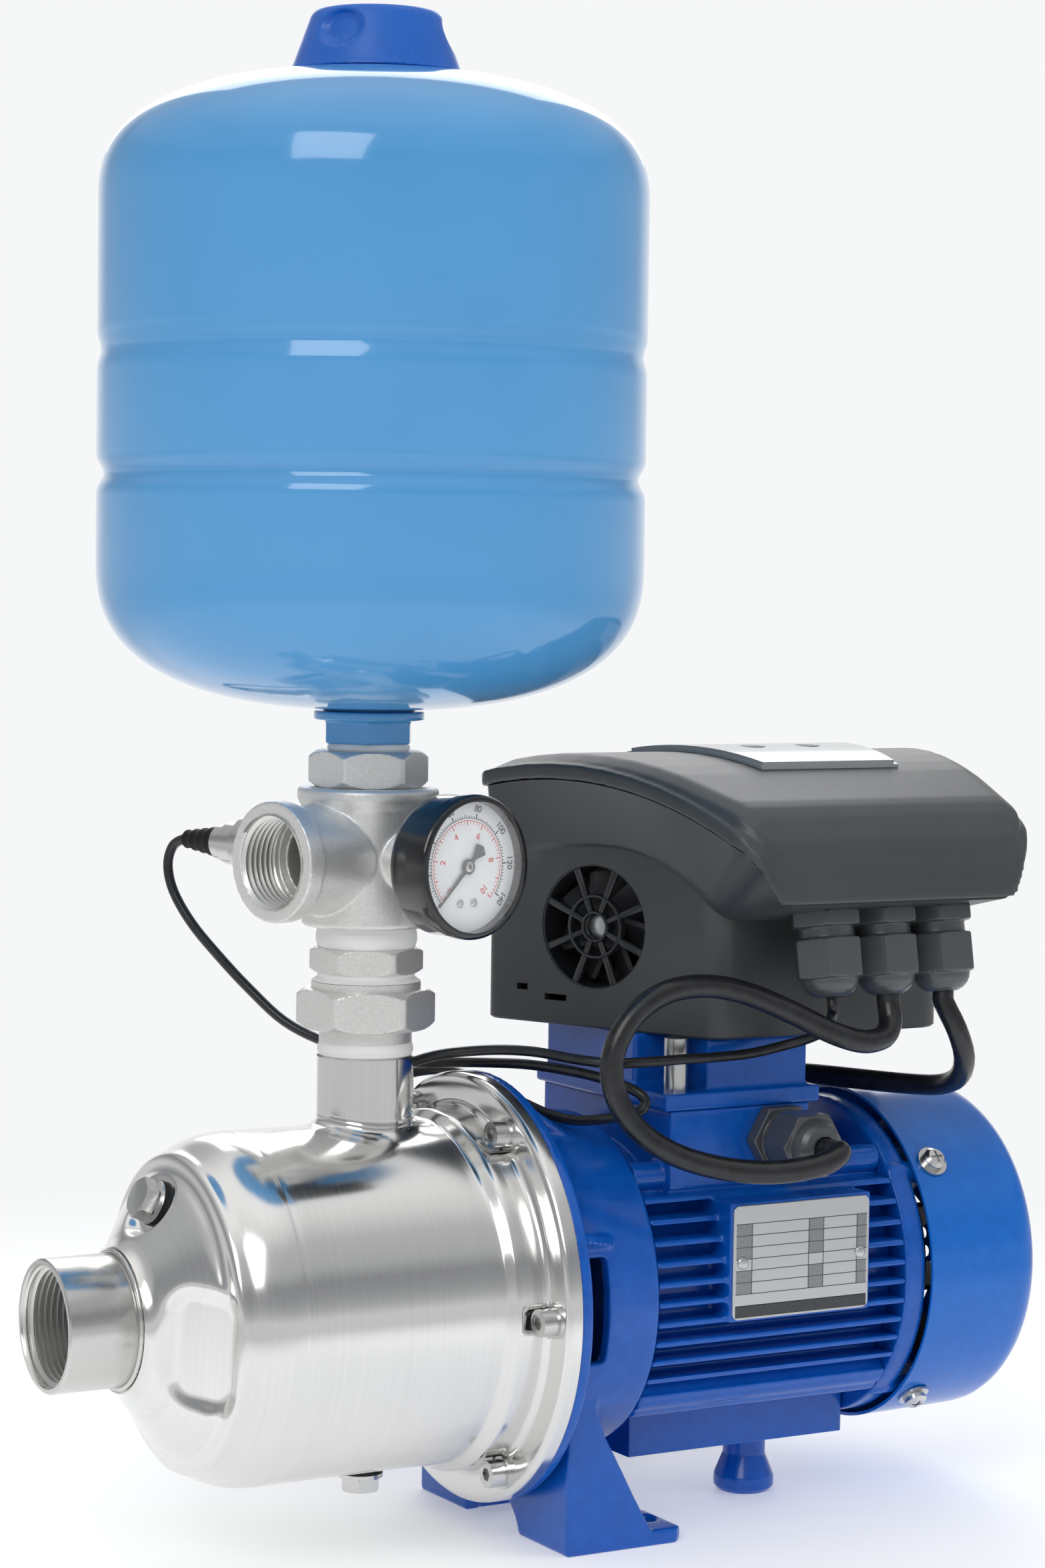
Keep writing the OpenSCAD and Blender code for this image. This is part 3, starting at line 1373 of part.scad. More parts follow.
// Gauge: black case with a bezel, white dial, glass and pointer
gauge_depth = 20;
gauge_round = 4;
gauge_hex_af = 14;
bezel_round = 2;
stem_r = side_bore_r - fit;
stem_x = 24;
bezel_h = 5;
bezel_over = 0.6;
dial_r = gauge_r - 2;
dial_t = 0.8;
glass_t = 1.4;
dial_at = gauge_reach - bezel_h - 1;
glass_at = gauge_reach - 2 * glass_t;
pointer_t = 0.6;
pointer_at = dial_at + dial_t + pointer_t;
arbor_r = 1.4;

module gauge_case() {
    back = gauge_reach - gauge_depth;
    color("#17181b") on_branch(0) {
        difference() {
            union() {
                rotate_extrude() polygon(concat([[0, back]], arc(gauge_r - gauge_round, back + gauge_round,
                    gauge_round, -90, 0, 4),
                    [[gauge_r, gauge_reach - bezel_h], [gauge_r + bezel_over, gauge_reach - bezel_h]],
                    arc(gauge_r + bezel_over - bezel_round, gauge_reach - bezel_round, bezel_round, 0, 90, 4), [[0, gauge_reach]]));
                translate([0, 0, stem_x]) cylinder(r = stem_r, h = back - stem_x + cut);
                translate([0, 0, side_boss_reach + gap]) hex_bar(gauge_hex_af,
                    back - side_boss_reach - gap + cut, cut);
            }
            translate([0, 0, dial_at]) cylinder(r = dial_r + fit, h = gauge_depth);
            translate([0, 0, back + stem_r / 2]) cylinder(r = dial_r - 2 * glass_t, h = gauge_depth);
        }
    }
}

module gauge_dial() {
    color("#f4f5f6") on_branch(0) translate([0, 0, dial_at]) difference() {
        cylinder(r = dial_r, h = dial_t);
        translate([0, 0, -cut]) cylinder(r = arbor_r + gap, h = dial_t + 2 * cut);
    }
}

module gauge_glass() {
    color("#dfe6ea", 0.3) on_branch(0) translate([0, 0, glass_at]) cylinder(r = dial_r, h = glass_t);
}

module gauge_pointer() {
    tip_r = dial_r * 0.84;
    tail_r = dial_r * 0.36;
    color("#151515") on_branch(0) translate([0, 0, pointer_at]) {
        translate([0, 0, -4 * pointer_t]) cylinder(r = arbor_r, h = 4 * pointer_t + 2 * pointer_t);
        cylinder(r = 2 * arbor_r, h = pointer_t);
        rotate([0, 0, 225]) linear_extrude(pointer_t) polygon([[0, -arbor_r / 2], [tip_r, -arbor_r / 8],
            [tip_r, arbor_r / 8], [0, arbor_r / 2], [-tail_r / 2, arbor_r / 2], [-tail_r, 2 * arbor_r],
            [-tail_r - arbor_r, 0], [-tail_r, -2 * arbor_r], [-tail_r / 2, -arbor_r / 2]]);
    }
}

// Transducer: steel body screwed in opposite the gauge, with a ribbed cable boot
sensor_hex_af = 22;
sensor_body_r = 11;
sensor_body_at = 40;
sensor_collar_at = 66;
sensor_collar_r = 8;
knurl_at = 76.5;
knurl_r = 6.7;
boot_at = 82;
boot_end = 102;
boot_r = 6.1;
boot_tip_r = 3.6;
boot_ribs = 4;
module pressure_transducer() {
    color("#9fa3a6") on_branch(180) {
        translate([0, 0, stem_x]) cylinder(r = stem_r, h = side_boss_reach - stem_x + cut);
        translate([0, 0, side_boss_reach]) hex_bar(sensor_hex_af, sensor_body_at - side_boss_reach, cut);
        translate([0, 0, sensor_body_at]) cylinder(r = sensor_body_r, h = sensor_collar_at - sensor_body_at);
        translate([0, 0, sensor_collar_at]) cylinder(r = sensor_collar_r, h = knurl_at - sensor_collar_at);
        translate([0, 0, knurl_at]) cylinder(r = knurl_r, h = boot_at - knurl_at);
    }
    color("#1d1e20") on_branch(180) {
        rib_step = (boot_end - boot_at) / boot_ribs / 2;
        difference() {
            rotate_extrude() polygon(concat([[0, boot_at], [boot_r, boot_at]],
                [for (i = [1 : 2 * boot_ribs - 1]) let (r = boot_r + (boot_tip_r - boot_r) * i / boot_ribs / 2)
                    [i % 2 == 0 ? r : r - boot_r / 8, boot_at + i * rib_step]],
                [[boot_tip_r, boot_end], [0, boot_end]]));
            translate([0, 0, boot_end - sensor_d]) cylinder(r = sensor_d / 2 + gap, h = 2 * sensor_d);
        }
    }
}

// Tank: two drawn halves with two rolled beads, a bladder inside, and an air valve under the cap
collar_h = 3.2;
tank_hex_af = 30;
tank_hex_h = 8;
collar_r = 19.9;
tank_neck_r = 16;
tank_z = bushing_top_z + bushing_tape_h + tank_hex_h + collar_h + cut;
tank_top_z = tank_z + tank_h;
dome_shape = 0.78;
bead_heights = [0.367, 0.56];
bead_r = 8;
bead_depths = [2.6, 1.4];
valve_r = 4;
valve_seat_r = 9;
tank_bore_r = 11;

// A dome quarter from rim to pole, as a rounded superellipse
function dome(r, h, from, to, steps = 14) = [for (i = [0 : steps])
    let (a = from + (to - from) * i / steps) [r * pow(cos(a), dome_shape), h * pow(sin(a), dome_shape)]];

// A rolled bead as three short steps into the wall
function bead(r, z, depth) = [[r, z - bead_r], [r - depth * 0.7, z - bead_r * 0.45], [r - depth, z],
    [r - depth * 0.7, z + bead_r * 0.45], [r, z + bead_r]];

function tank_outline(off) = concat(
    [for (p = dome(tank_r - off, tank_bottom_h - off, 90, 0)) [p[0], tank_z + tank_bottom_h - p[1]]],
    [for (i = [0, 1]) each bead(tank_r - off, tank_z + tank_h * bead_heights[i], bead_depths[i])],
    [for (p = dome(tank_r - off, tank_top_h - off, 0, 90)) [p[0], tank_top_z - tank_top_h + p[1]]]);

module tank_shell() {
    color("#58a0d8") on_riser(0) difference() {
        rotate_extrude($fn = 96) polygon(tank_outline(0));
        rotate_extrude($fn = 96) polygon(tank_outline(tank_wall));
        translate([0, 0, tank_z - cut]) cylinder(r = tank_neck_r + fit, h = 4 * cut);
        translate([0, 0, tank_top_z - 2 * cut]) cylinder(r = valve_r + gap, h = 4 * cut);
    }
}

module tank_connection() {
    hex_z = bushing_top_z + bushing_tape_h;
    color("#4f97d2") on_riser(0) difference() {
        union() {
            translate([0, 0, bushing_top_z - bushing_h]) cylinder(r = tank_spigot_r, h = bushing_h +
                bushing_tape_h);
            translate([0, 0, hex_z]) hex_bar(tank_hex_af, tank_hex_h, cut);
            translate([0, 0, hex_z + tank_hex_h]) cylinder(r = tank_spigot_r + cut, h = collar_h);
            translate([0, 0, hex_z + tank_hex_h + cut / 2]) cylinder(r = collar_r, h = collar_h);
            translate([0, 0, hex_z + tank_hex_h + collar_h]) cylinder(r = tank_neck_r,
                h = tank_z + 3 * cut - hex_z - tank_hex_h - collar_h);
        }
        translate([0, 0, bushing_top_z - bushing_h - cut])
            cylinder(r = tank_bore_r, h = tank_z - bushing_top_z + 2 * bushing_h);
    }
}

bladder_r = tank_r - 14;
bladder_wall = 2.5;
bladder_neck = 12;
bladder_clear = 8.5;
bladder_h = tank_h - 50;
module tank_bladder() {
    color("#2d2e30") on_riser(0) {
        difference() {
            union() {
                rotate_extrude() polygon(bladder_outline(0));
                translate([0, 0, tank_z + 3 * cut]) cylinder(r = tank_neck_r - cut, h = bladder_neck);
            }
            rotate_extrude() polygon(bladder_outline(bladder_wall));
            translate([0, 0, tank_z]) cylinder(r = tank_bore_r, h = 2 * bladder_neck);
        }
    }
}

function bladder_outline(off) = concat(
    [for (p = dome(bladder_r - off, tank_bottom_h - bladder_clear - off, 90, 0, 8))
        [p[0], tank_z + tank_bottom_h - p[1]]],
    [for (p = dome(bladder_r - off, tank_top_h - off, 0, 90, 8)) [p[0], tank_z + bladder_h - tank_top_h + p[1]]]);

valve_h = 12;
module tank_air_valve() {
    color("#b89b52") on_riser(tank_top_z - 3 * cut) {
        cylinder(r = valve_r, h = valve_h);
        translate([0, 0, 3 * cut + gap / 3]) cylinder(r = valve_seat_r - 2, h = 2 * cut);
    }
}

cap_top_r = 23.5;
cap_wall = 2;
cap_dents = 4;
dent_r = 16;
cap_z = tank_top_z - gap - fit;
module tank_cap() {
    color("#3a6ccb") on_riser(cap_z) difference() {
        rotate_extrude() polygon([[0, 0], [cap_r, 0], [cap_r - cap_wall / 2, cap_wall],
            [cap_top_r, cap_h - cap_wall], [cap_top_r - cap_wall / 2, cap_h - cap_wall / 3],
            [cap_top_r - cap_wall, cap_h], [0, cap_h]]);
        rotate_extrude() polygon([[0, -cut], [cap_r - cap_wall, -cut], [cap_r - 2 * cap_wall, cap_wall],
            [cap_top_r - 2 * cap_wall, cap_h - 2 * cap_wall], [0, cap_h - cap_wall]]);
    }
}

// Cords: a tube with a ring of corners at each hand-set point, in model coordinates
function unit(v) = v / norm(v);
function headings(p) = [for (i = [0 : len(p) - 1]) unit(
    (i > 0 ? unit(p[i] - p[i - 1]) : [0, 0, 0]) + (i < len(p) - 1 ? unit(p[i + 1] - p[i]) : [0, 0, 0]))];
function sides_of(t, side = [0.3, 0.2, 0.9], i = 0) = i == len(t) ? [] :
    let (n = unit(side - (side * t[i]) * t[i])) concat([n], sides_of(t, n, i + 1));

module tube(points, r, corners) {
    t = headings(points);
    n = sides_of(t);
    last = len(points) - 1;
    polyhedron(
        points = [for (i = [0 : last], k = [0 : corners - 1]) let (a = k * 360 / corners)
            points[i] + r * (n[i] * cos(a) + cross(t[i], n[i]) * sin(a))],
        faces = concat([[for (k = [0 : corners - 1]) k]],
            [for (i = [0 : last - 1], k = [0 : corners - 1], half = [0, 1])
                let (low = i * corners, high = low + corners, next = (k + 1) % corners)
                    half == 0 ? [low + k, high + k, high + next] : [low + k, high + next, low + next]],
            [[for (k = [corners - 1 : -1 : 0]) last * corners + k]]));
}

// Where each cord enters its gland or its boot
mouth_y = -gland_y - gland_l * sin(nose_slope);
mouth_z = ctrl_z + nose_under + (gland_y - housing_front_y) * tan(nose_slope) - gland_l * cos(nose_slope);
inside = 10;
lead = 4;
boot_x = riser_x - boot_end * sin(five_way_turn);
boot_y = boot_end * cos(five_way_turn);

function gland_mouth(i, out) = [ctrl_x + gland_shift + i * gland_pitch, mouth_y - out * sin(nose_slope),
    mouth_z - out * cos(nose_slope)];
function boot_mouth(out) = [boot_x - out * sin(five_way_turn), boot_y + out * cos(five_way_turn), branch_z];

// The sensor cable falls behind the riser, crosses the flange twice in a long fold, and rises to the left gland
sensor_points = [boot_mouth(-3), boot_mouth(2), [-125.5, 107.5, 246.5], [-126.5, 110, 239], [-125, 108, 229],
    [-120, 102, 217], [-112, 95, 205], [-103, 87, 193], [-93, 76, 181], [-82, 62, 174], [-71, 44, 170.5],
    [-61, 27, 169.5], [-53, 13, 171], [-45, 0, 172], [-38, -13, 172.6], [-31, -25, 172], [-24, -36, 170.6],
    [-18, -45, 168.4], [-13, -51, 165.4], [-11.5, -53, 162.2], [-13.5, -52.5, 159.2], [-18.5, -48.5, 157.2],
    [-24, -41, 155.2], [-28.5, -32, 154], [-33, -21, 155], [-38, -8, 158.5], [-42, 6, 161.5], [-43.5, 20, 164],
    [-45, 34, 165], [-51, 45, 163.5], [-61, 50, 160.5], [-73, 49, 158.5], [-82, 42, 158.5], [-86, 31, 161],
    [-83, 21, 165.5], [-75, 15, 170.5], [-65, 9, 174.5], [-55, 2, 176.5], [-46, -8, 177.8], [-38, -20, 178],
    [-30, -32, 176.6], [-21, -43, 175.8], [-10, -50, 176.4], [3, -52.5, 177], [18, -52.5, 177],
    [33, -53, 177.6], [45, -56, 180], [53, -62, 183.2], [55.5, -69, 187], [54, -74.5, 191],
    gland_mouth(-1, lead), gland_mouth(-1, 0), gland_mouth(-1, -inside)];

// The motor cable leaves the middle gland, swings round the block and enters the terminal box
motor_points = [gland_mouth(0, -inside), gland_mouth(0, 0), gland_mouth(0, lead), [76, -81, 190], [71, -84, 185.5],
    [61, -85.5, 184.5], [49, -83.5, 188], [36, -77, 195], [21, -69, 202], [6, -65, 205], [-9, -63.5, 203.5],
    [-21, -62.5, 197], [-29, -62, 187], [-31.5, -62, 175.5], [-28.5, -63, 164], [-21, -66, 153.5],
    [-9, -71, 145.5], [5, -77.5, 141], [19, -84.5, 139.5], [31, -90, 140.5], [41.5, -93, 143],
    [48, -90.5, 145.5], [box_gland_x, -box_half_y - gland_l - lead, box_gland_z],
    [box_gland_x, -box_half_y - gland_l, box_gland_z],
    [box_gland_x, -box_half_y - gland_l + inside, box_gland_z]];

// The supply cable goes back past the block, falls behind the motor and reaches the coil on the floor
coil_x = 100;
coil_y = 140;
coil_out_r = 56;
supply_pitch = supply_d + 0.6;
tie_t = 1;
tie_w = 6;
coil_z = supply_d / 2 + tie_t + gap;
coil_turns = 4.5;
rings_per_turn = 24;
coil_rings = coil_turns * rings_per_turn;
supply_points = [gland_mouth(1, -inside), gland_mouth(1, 0), gland_mouth(1, lead), [106, -81.5, 186],
    [113, -77, 175], [119, -66, 166], [121, -52, 161], [117, -37, 159.5], [110, -20, 159.2], [104, -3, 159],
    [98, 14, 158.5], [90, 30, 157.5], [79, 45, 155], [65, 57, 150], [49, 66, 140], [35, 72, 126],
    [26, 75, 109], [22, 77, 90], [23, 79, 71], [30, 81, 53], [43, 82.5, 36], [59, 83.5, 22], [72, 84, 10],
    [coil_x - 2 * supply_d, coil_y - coil_out_r, coil_z], [coil_x - supply_d, coil_y - coil_out_r, coil_z]];

// The coil spirals in on the floor and out again on top, and its tail runs to the plug
function coil_point(i) = let (t = i / rings_per_turn, mid = coil_turns / 2,
    r = coil_out_r - supply_pitch * min(t, coil_turns - t),
    rise = max(0, min(1, (t - mid) * 2 + 0.5)), a = 360 * t - 90)
    [coil_x + r * cos(a), coil_y + r * sin(a), coil_z + supply_pitch * rise * rise * (3 - 2 * rise)];
coil_wound = [for (i = [0 : coil_rings]) coil_point(i)];
plug_x = 25;
plug_y = 166;
plug_z = 12.5;
plug_turn = 210;
function plug_point(out) = [plug_x - out * cos(plug_turn), plug_y - out * sin(plug_turn), plug_z];
coil_points = concat([[coil_x - supply_d, coil_y - coil_out_r, coil_z]], coil_wound, [[86, 195.6, coil_z + supply_pitch], [72, 192.4, 13.5], [58, 186, 13],
    [45, 178, plug_z], plug_point(11), plug_point(3), plug_point(-lead)]);
coil_gap = min([for (i = [0 : coil_rings], j = [0 : coil_rings]) if (j > i + 6)
    norm(coil_wound[i] - coil_wound[j])]) - supply_d;
echo(coil_gap = coil_gap);

module sensor_cable() {
    color("#1a1a1b") tube(sensor_points, sensor_d / 2, 8);
}

module motor_cable() {
    color("#1a1a1b") tube(motor_points, motor_cable_d / 2, 10);
}

module supply_cable() {
    color("#1a1a1b") tube(supply_points, supply_d / 2, 10);
}

module supply_coil() {
    color("#1a1a1b") tube(coil_points, supply_d / 2, 6);
}

// A strap round all turns of the coil
tie_turn = 0.6;
module coil_tie() {
    low_r = coil_out_r - supply_pitch * (coil_turns - 2 - tie_turn) - supply_d / 2 - gap;
    high_r = coil_out_r - supply_pitch * tie_turn + supply_d / 2 + gap;
    h = supply_pitch + supply_d + 2 * gap;
    color("#2a2a2b") translate([coil_x, coil_y, 0]) rotate([0, 0, 360 * tie_turn - 90])
        translate([0, tie_w / 2, 0]) rotate([90, 0, 0]) linear_extrude(tie_w) difference() {
            translate([low_r - tie_t, 0]) square([high_r - low_r + 2 * tie_t, h + 2 * tie_t]);
            translate([low_r, tie_t]) square([high_r - low_r, h]);
        }
}

// Plug: a grip with a tapered boot and three flat pins
plug_len = 38;
plug_front_w = 36;
plug_rear_w = 24;
plug_h = 24;
plug_round = 5;
boot_len = 16;
pin_l = 18;
pin_w = 6.4;
pin_t = 1.6;
pin_off = 7.9;
pin_rise = 2.5;
earth_rise = 3;
boot_wall = 1.5;
module supply_plug() {
    color("#1c1c1d") translate([plug_x, plug_y, plug_z]) rotate([0, 0, plug_turn]) {
        intersection() {
            translate([boot_len, 0, -plug_h / 2]) linear_extrude(plug_h) polygon([[0, -plug_rear_w / 2],
                [plug_round, -plug_rear_w / 2], [plug_len - plug_round, -plug_front_w / 2],
                [plug_len, plug_round - plug_front_w / 2], [plug_len, plug_front_w / 2 - plug_round],
                [plug_len - plug_round, plug_front_w / 2], [plug_round, plug_rear_w / 2],
                [0, plug_rear_w / 2]]);
            rotate([90, 0, 90]) linear_extrude(boot_len + plug_len + cut) plug_outline(plug_front_w);
        }
        difference() {
            rotate([0, 90, 0]) cylinder(r1 = supply_d / 2 + boot_wall, r2 = supply_d, h = boot_len + cut);
            rotate([0, 90, 0]) translate([0, 0, -cut]) cylinder(r = supply_d / 2 + fit, h = lead + cut);
        }
    }
    color("#c9b26a") translate([plug_x, plug_y, plug_z]) rotate([0, 0, plug_turn])
        translate([boot_len + plug_len - cut, 0, 0]) {
            for (s = [-1, 1]) translate([0, s * pin_off, pin_rise]) rotate([s * 30, 0, 0])
                translate([0, -pin_t / 2, -pin_w / 2]) cube([pin_l + cut, pin_t, pin_w]);
            translate([0, -pin_t / 2, -plug_h / 2 + earth_rise]) cube([pin_l + cut, pin_t, pin_w]);
        }
}

module plug_outline(w) {
    for (x = [-1, 1], y = [-1, 1]) translate([x * (w / 2 - plug_round), y * (plug_h / 2 - plug_round)])
        circle(r = plug_round, $fn = 24);
    square([w, plug_h - 2 * plug_round], center = true);
    square([w - 2 * plug_round, plug_h], center = true);
}

pump_casing();
pipe_sockets();
casing_screws();
filling_plug();
drain_plug();
casing_seals();
seal_plate();
stage_bowls();
impellers();
rotor_shaft();
impeller_nut();
seal_seat();
rotating_seal();
motor_bracket();
motor_frame();
stator_core();
stator_winding();
rotor_core();
bearings();
rear_end_shield();
tie_bolts();
motor_fan();
fan_cover();
fan_cover_screws();
nameplate();
motor_foot();
controller_adapter();
adapter_bolts();
motor_cable_gland();
controller_housing();
controller_lid();
display_panel();
left_key();
right_key();
heat_sink();
circuit_board();
cooling_fan_frame();
cooling_fan_rotor();
cable_glands();
pipe_union();
hex_nipple();
thread_tape();
five_way_body();
tank_bushing();
gauge_case();
gauge_dial();
gauge_glass();
gauge_pointer();
pressure_transducer();
tank_shell();
tank_connection();
tank_bladder();
tank_air_valve();
tank_cap();
sensor_cable();
motor_cable();
supply_cable();
supply_coil();
coil_tie();
supply_plug();
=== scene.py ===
"""Looks of the horizontal multistage pump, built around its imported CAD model, in the order it is put together."""
import json
import math
import bpy
from mathutils import Matrix, Vector, noise


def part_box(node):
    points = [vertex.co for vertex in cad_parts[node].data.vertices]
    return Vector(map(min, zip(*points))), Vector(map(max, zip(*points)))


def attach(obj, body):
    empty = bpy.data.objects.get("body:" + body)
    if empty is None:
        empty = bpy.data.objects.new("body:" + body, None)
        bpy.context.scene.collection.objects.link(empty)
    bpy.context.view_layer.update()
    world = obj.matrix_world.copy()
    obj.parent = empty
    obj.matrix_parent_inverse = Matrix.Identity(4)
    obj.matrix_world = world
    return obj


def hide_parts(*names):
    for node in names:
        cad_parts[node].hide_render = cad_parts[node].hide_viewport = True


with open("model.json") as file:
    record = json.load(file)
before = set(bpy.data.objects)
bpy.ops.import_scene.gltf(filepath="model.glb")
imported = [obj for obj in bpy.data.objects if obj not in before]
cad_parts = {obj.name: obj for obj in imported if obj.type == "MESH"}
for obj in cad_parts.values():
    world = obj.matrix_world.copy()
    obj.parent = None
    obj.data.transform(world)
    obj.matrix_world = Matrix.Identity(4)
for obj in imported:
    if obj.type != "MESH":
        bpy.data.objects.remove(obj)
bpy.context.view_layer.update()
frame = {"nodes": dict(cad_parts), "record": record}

# Studio: a pale floor that fades out to nothing, under soft lamps, seen from a little above the pump's shoulder.
# The camera stands where the photograph was taken from, and leans by under one degree as it did.
mm = 0.001
camera_place = Vector((-0.7058, -1.1637, 0.3543))
camera_azimuth = math.radians(30)
camera_pitch = math.radians(3.39)
camera_roll = math.radians(0.8)
photo_height = 2352
photo_focal = 5481
film_height = 36
ahead = Vector((math.sin(camera_azimuth) * math.cos(camera_pitch),
                math.cos(camera_azimuth) * math.cos(camera_pitch), -math.sin(camera_pitch)))
level_right = Vector((math.cos(camera_azimuth), -math.sin(camera_azimuth), 0))
level_up = level_right.cross(ahead)
right = level_right * math.cos(camera_roll) + level_up * math.sin(camera_roll)
up = level_up * math.cos(camera_roll) - level_right * math.sin(camera_roll)
camera = bpy.data.objects.new("camera", bpy.data.cameras.new("camera"))
bpy.context.scene.collection.objects.link(camera)
camera.matrix_world = Matrix.Translation(camera_place) @ Matrix((right, up, -ahead)).transposed().to_4x4()
camera.data.sensor_width = film_height
camera.data.lens = photo_focal * film_height / photo_height
camera.data.clip_start = 0.05
camera.data.clip_end = 200
bpy.context.scene.camera = camera
bpy.context.scene.view_settings.view_transform = "Standard"


def linear(code):
    """An sRGB hex colour as the linear values that Blender's sockets take"""
    parts = [int(code[i:i + 2], 16) / 255 for i in (0, 2, 4)]
    return [*(p / 12.92 if p <= 0.04045 else ((p + 0.055) / 1.055) ** 2.4 for p in parts), 1]


def add(tree, kind, links=None, **settings):
    """One node with its settings. A link is a socket to join or a plain value, by input name or number"""
    node = tree.nodes.new(kind)
    for name, value in settings.items():
        setattr(node, name, value)
    for name, value in (links or {}).items():
        if isinstance(value, bpy.types.NodeSocket):
            tree.links.new(value, node.inputs[name])
        else:
            node.inputs[name].default_value = value
    return node


def ramp(node, *stops):
    """Sets a colour ramp's stops, each a place and a hex colour"""
    while len(node.color_ramp.elements) < len(stops):
        node.color_ramp.elements.new(0.5)
    for element, (place, code) in zip(node.color_ramp.elements, stops):
        element.position = place
        element.color = linear(code)
    return node.outputs["Color"]


def finish(name, code, rough, **settings):
    """A new material: its tree, its shader, and Object coordinates to draw patterns with"""
    material = bpy.data.materials.new(name)
    material.use_nodes = True
    tree = material.node_tree
    tree.nodes.clear()
    sockets = {k.replace("_", " "): v for k, v in settings.items()}
    shader = add(tree, "ShaderNodeBsdfPrincipled", {"Base Color": linear(code), "Roughness": rough, **sockets})
    add(tree, "ShaderNodeOutputMaterial", {"Surface": shader.outputs[0]})
    return material, tree, shader, add(tree, "ShaderNodeTexCoord").outputs["Object"]


def join(tree, source, target):
    tree.links.new(source, target)


world = bpy.data.worlds.new("studio")
bpy.context.scene.world = world
world.use_nodes = True
sky = world.node_tree
sky.nodes.clear()
# The room that polished steel mirrors: a white floor and ceiling, grey walls, and a white backdrop behind the pump
look = add(sky, "ShaderNodeTexCoord").outputs["Generated"]
heading = add(sky, "ShaderNodeSeparateXYZ", {0: look})
height = add(sky, "ShaderNodeMapRange", {"Value": heading.outputs["Z"], "From Min": -1, "From Max": 1})
bands = add(sky, "ShaderNodeValToRGB", {0: height.outputs[0]})
room = ramp(bands, (0.25, "fbfcfc"), (0.33, "cfd1d3"), (0.4, "c6c8ca"), (0.5, "dcddde"), (0.54, "b4b6b8"),
            (0.6, "9c9ea1"), (0.68, "8e9093"), (0.74, "b4b6b8"), (0.85, "c0c1c3"), (0.97, "ffffff"))
behind = add(sky, "ShaderNodeVectorMath", {0: look, 1: (math.sin(camera_azimuth), math.cos(camera_azimuth), 0)},
             operation="DOT_PRODUCT")
back = add(sky, "ShaderNodeMapRange", {"Value": behind.outputs["Value"], "From Min": 0.78, "From Max": 0.95},
           interpolation_type="SMOOTHSTEP")
lit_room = add(sky, "ShaderNodeBackground", {"Color": room, "Strength": 1.0})
backdrop = add(sky, "ShaderNodeBackground", {"Color": linear("f6f7f8"), "Strength": 1.0})
both = add(sky, "ShaderNodeMixShader", {0: back.outputs[0], 1: lit_room.outputs[0], 2: backdrop.outputs[0]})
seen = add(sky, "ShaderNodeLightPath").outputs["Is Camera Ray"]
plain = add(sky, "ShaderNodeMixShader", {0: seen, 1: both.outputs[0], 2: backdrop.outputs[0]})
add(sky, "ShaderNodeOutputWorld", {"Surface": plain.outputs[0]})

bpy.ops.mesh.primitive_circle_add(vertices=96, radius=3, fill_type="NGON")
floor = bpy.context.object
floor.name = "floor"
floor_paint, tree, shader, place = finish("pale_floor", "eceded", 0.7, Specular_IOR_Level=0.2)
soft = add(tree, "ShaderNodeTexNoise", {"Vector": place, "Scale": 3.0, "Detail": 2.0})
tone = add(tree, "ShaderNodeValToRGB", {0: soft.outputs["Fac"]})
join(tree, ramp(tone, (0.3, "eff0f1"), (0.7, "f3f4f4")), shader.inputs["Base Color"])
away = add(tree, "ShaderNodeVectorMath", {0: place}, operation="LENGTH")
fade = add(tree, "ShaderNodeMapRange", {"Value": away.outputs["Value"], "From Min": 0.28, "From Max": 0.75,
           "To Min": 1, "To Max": 0}, interpolation_type="SMOOTHSTEP")
join(tree, fade.outputs[0], shader.inputs["Alpha"])
# The table is a lit panel, as for a catalogue picture, so it fills the shadows from below
shader.inputs["Emission Color"].default_value = linear("ffffff")
shader.inputs["Emission Strength"].default_value = 0.28
floor.data.materials.append(floor_paint)


def lamp(name, place, target, size, power):
    """A soft lamp: a square panel that faces its target"""
    light = bpy.data.lights.new(name, "AREA")
    light.size = size
    light.energy = power
    holder = bpy.data.objects.new(name, light)
    bpy.context.scene.collection.objects.link(holder)
    holder.location = place
    holder.rotation_euler = (Vector(target) - Vector(place)).to_track_quat("-Z", "Y").to_euler()
    return holder


lamp("key_lamp", (-1.7, -1.5, 1.7), (0, 0, 0.25), 1.3, 19)
side_lamp = lamp("side_lamp", (1.8, -1.4, 1.1), (0.05, 0, 0.2), 1.2, 11)
side_lamp.visible_glossy = False
lamp("back_lamp", (0.9, 1.8, 1.5), (0, 0, 0.25), 1.4, 11)

# Cables: black round cable in a soft PVC sheath, pushed through the glands and clamped by their nuts.
# The thin one comes from the sensor, the middle one feeds the motor, and the third is the mains lead.
# What the photograph doesn't show of the lead is wound in a coil on the floor behind the motor.


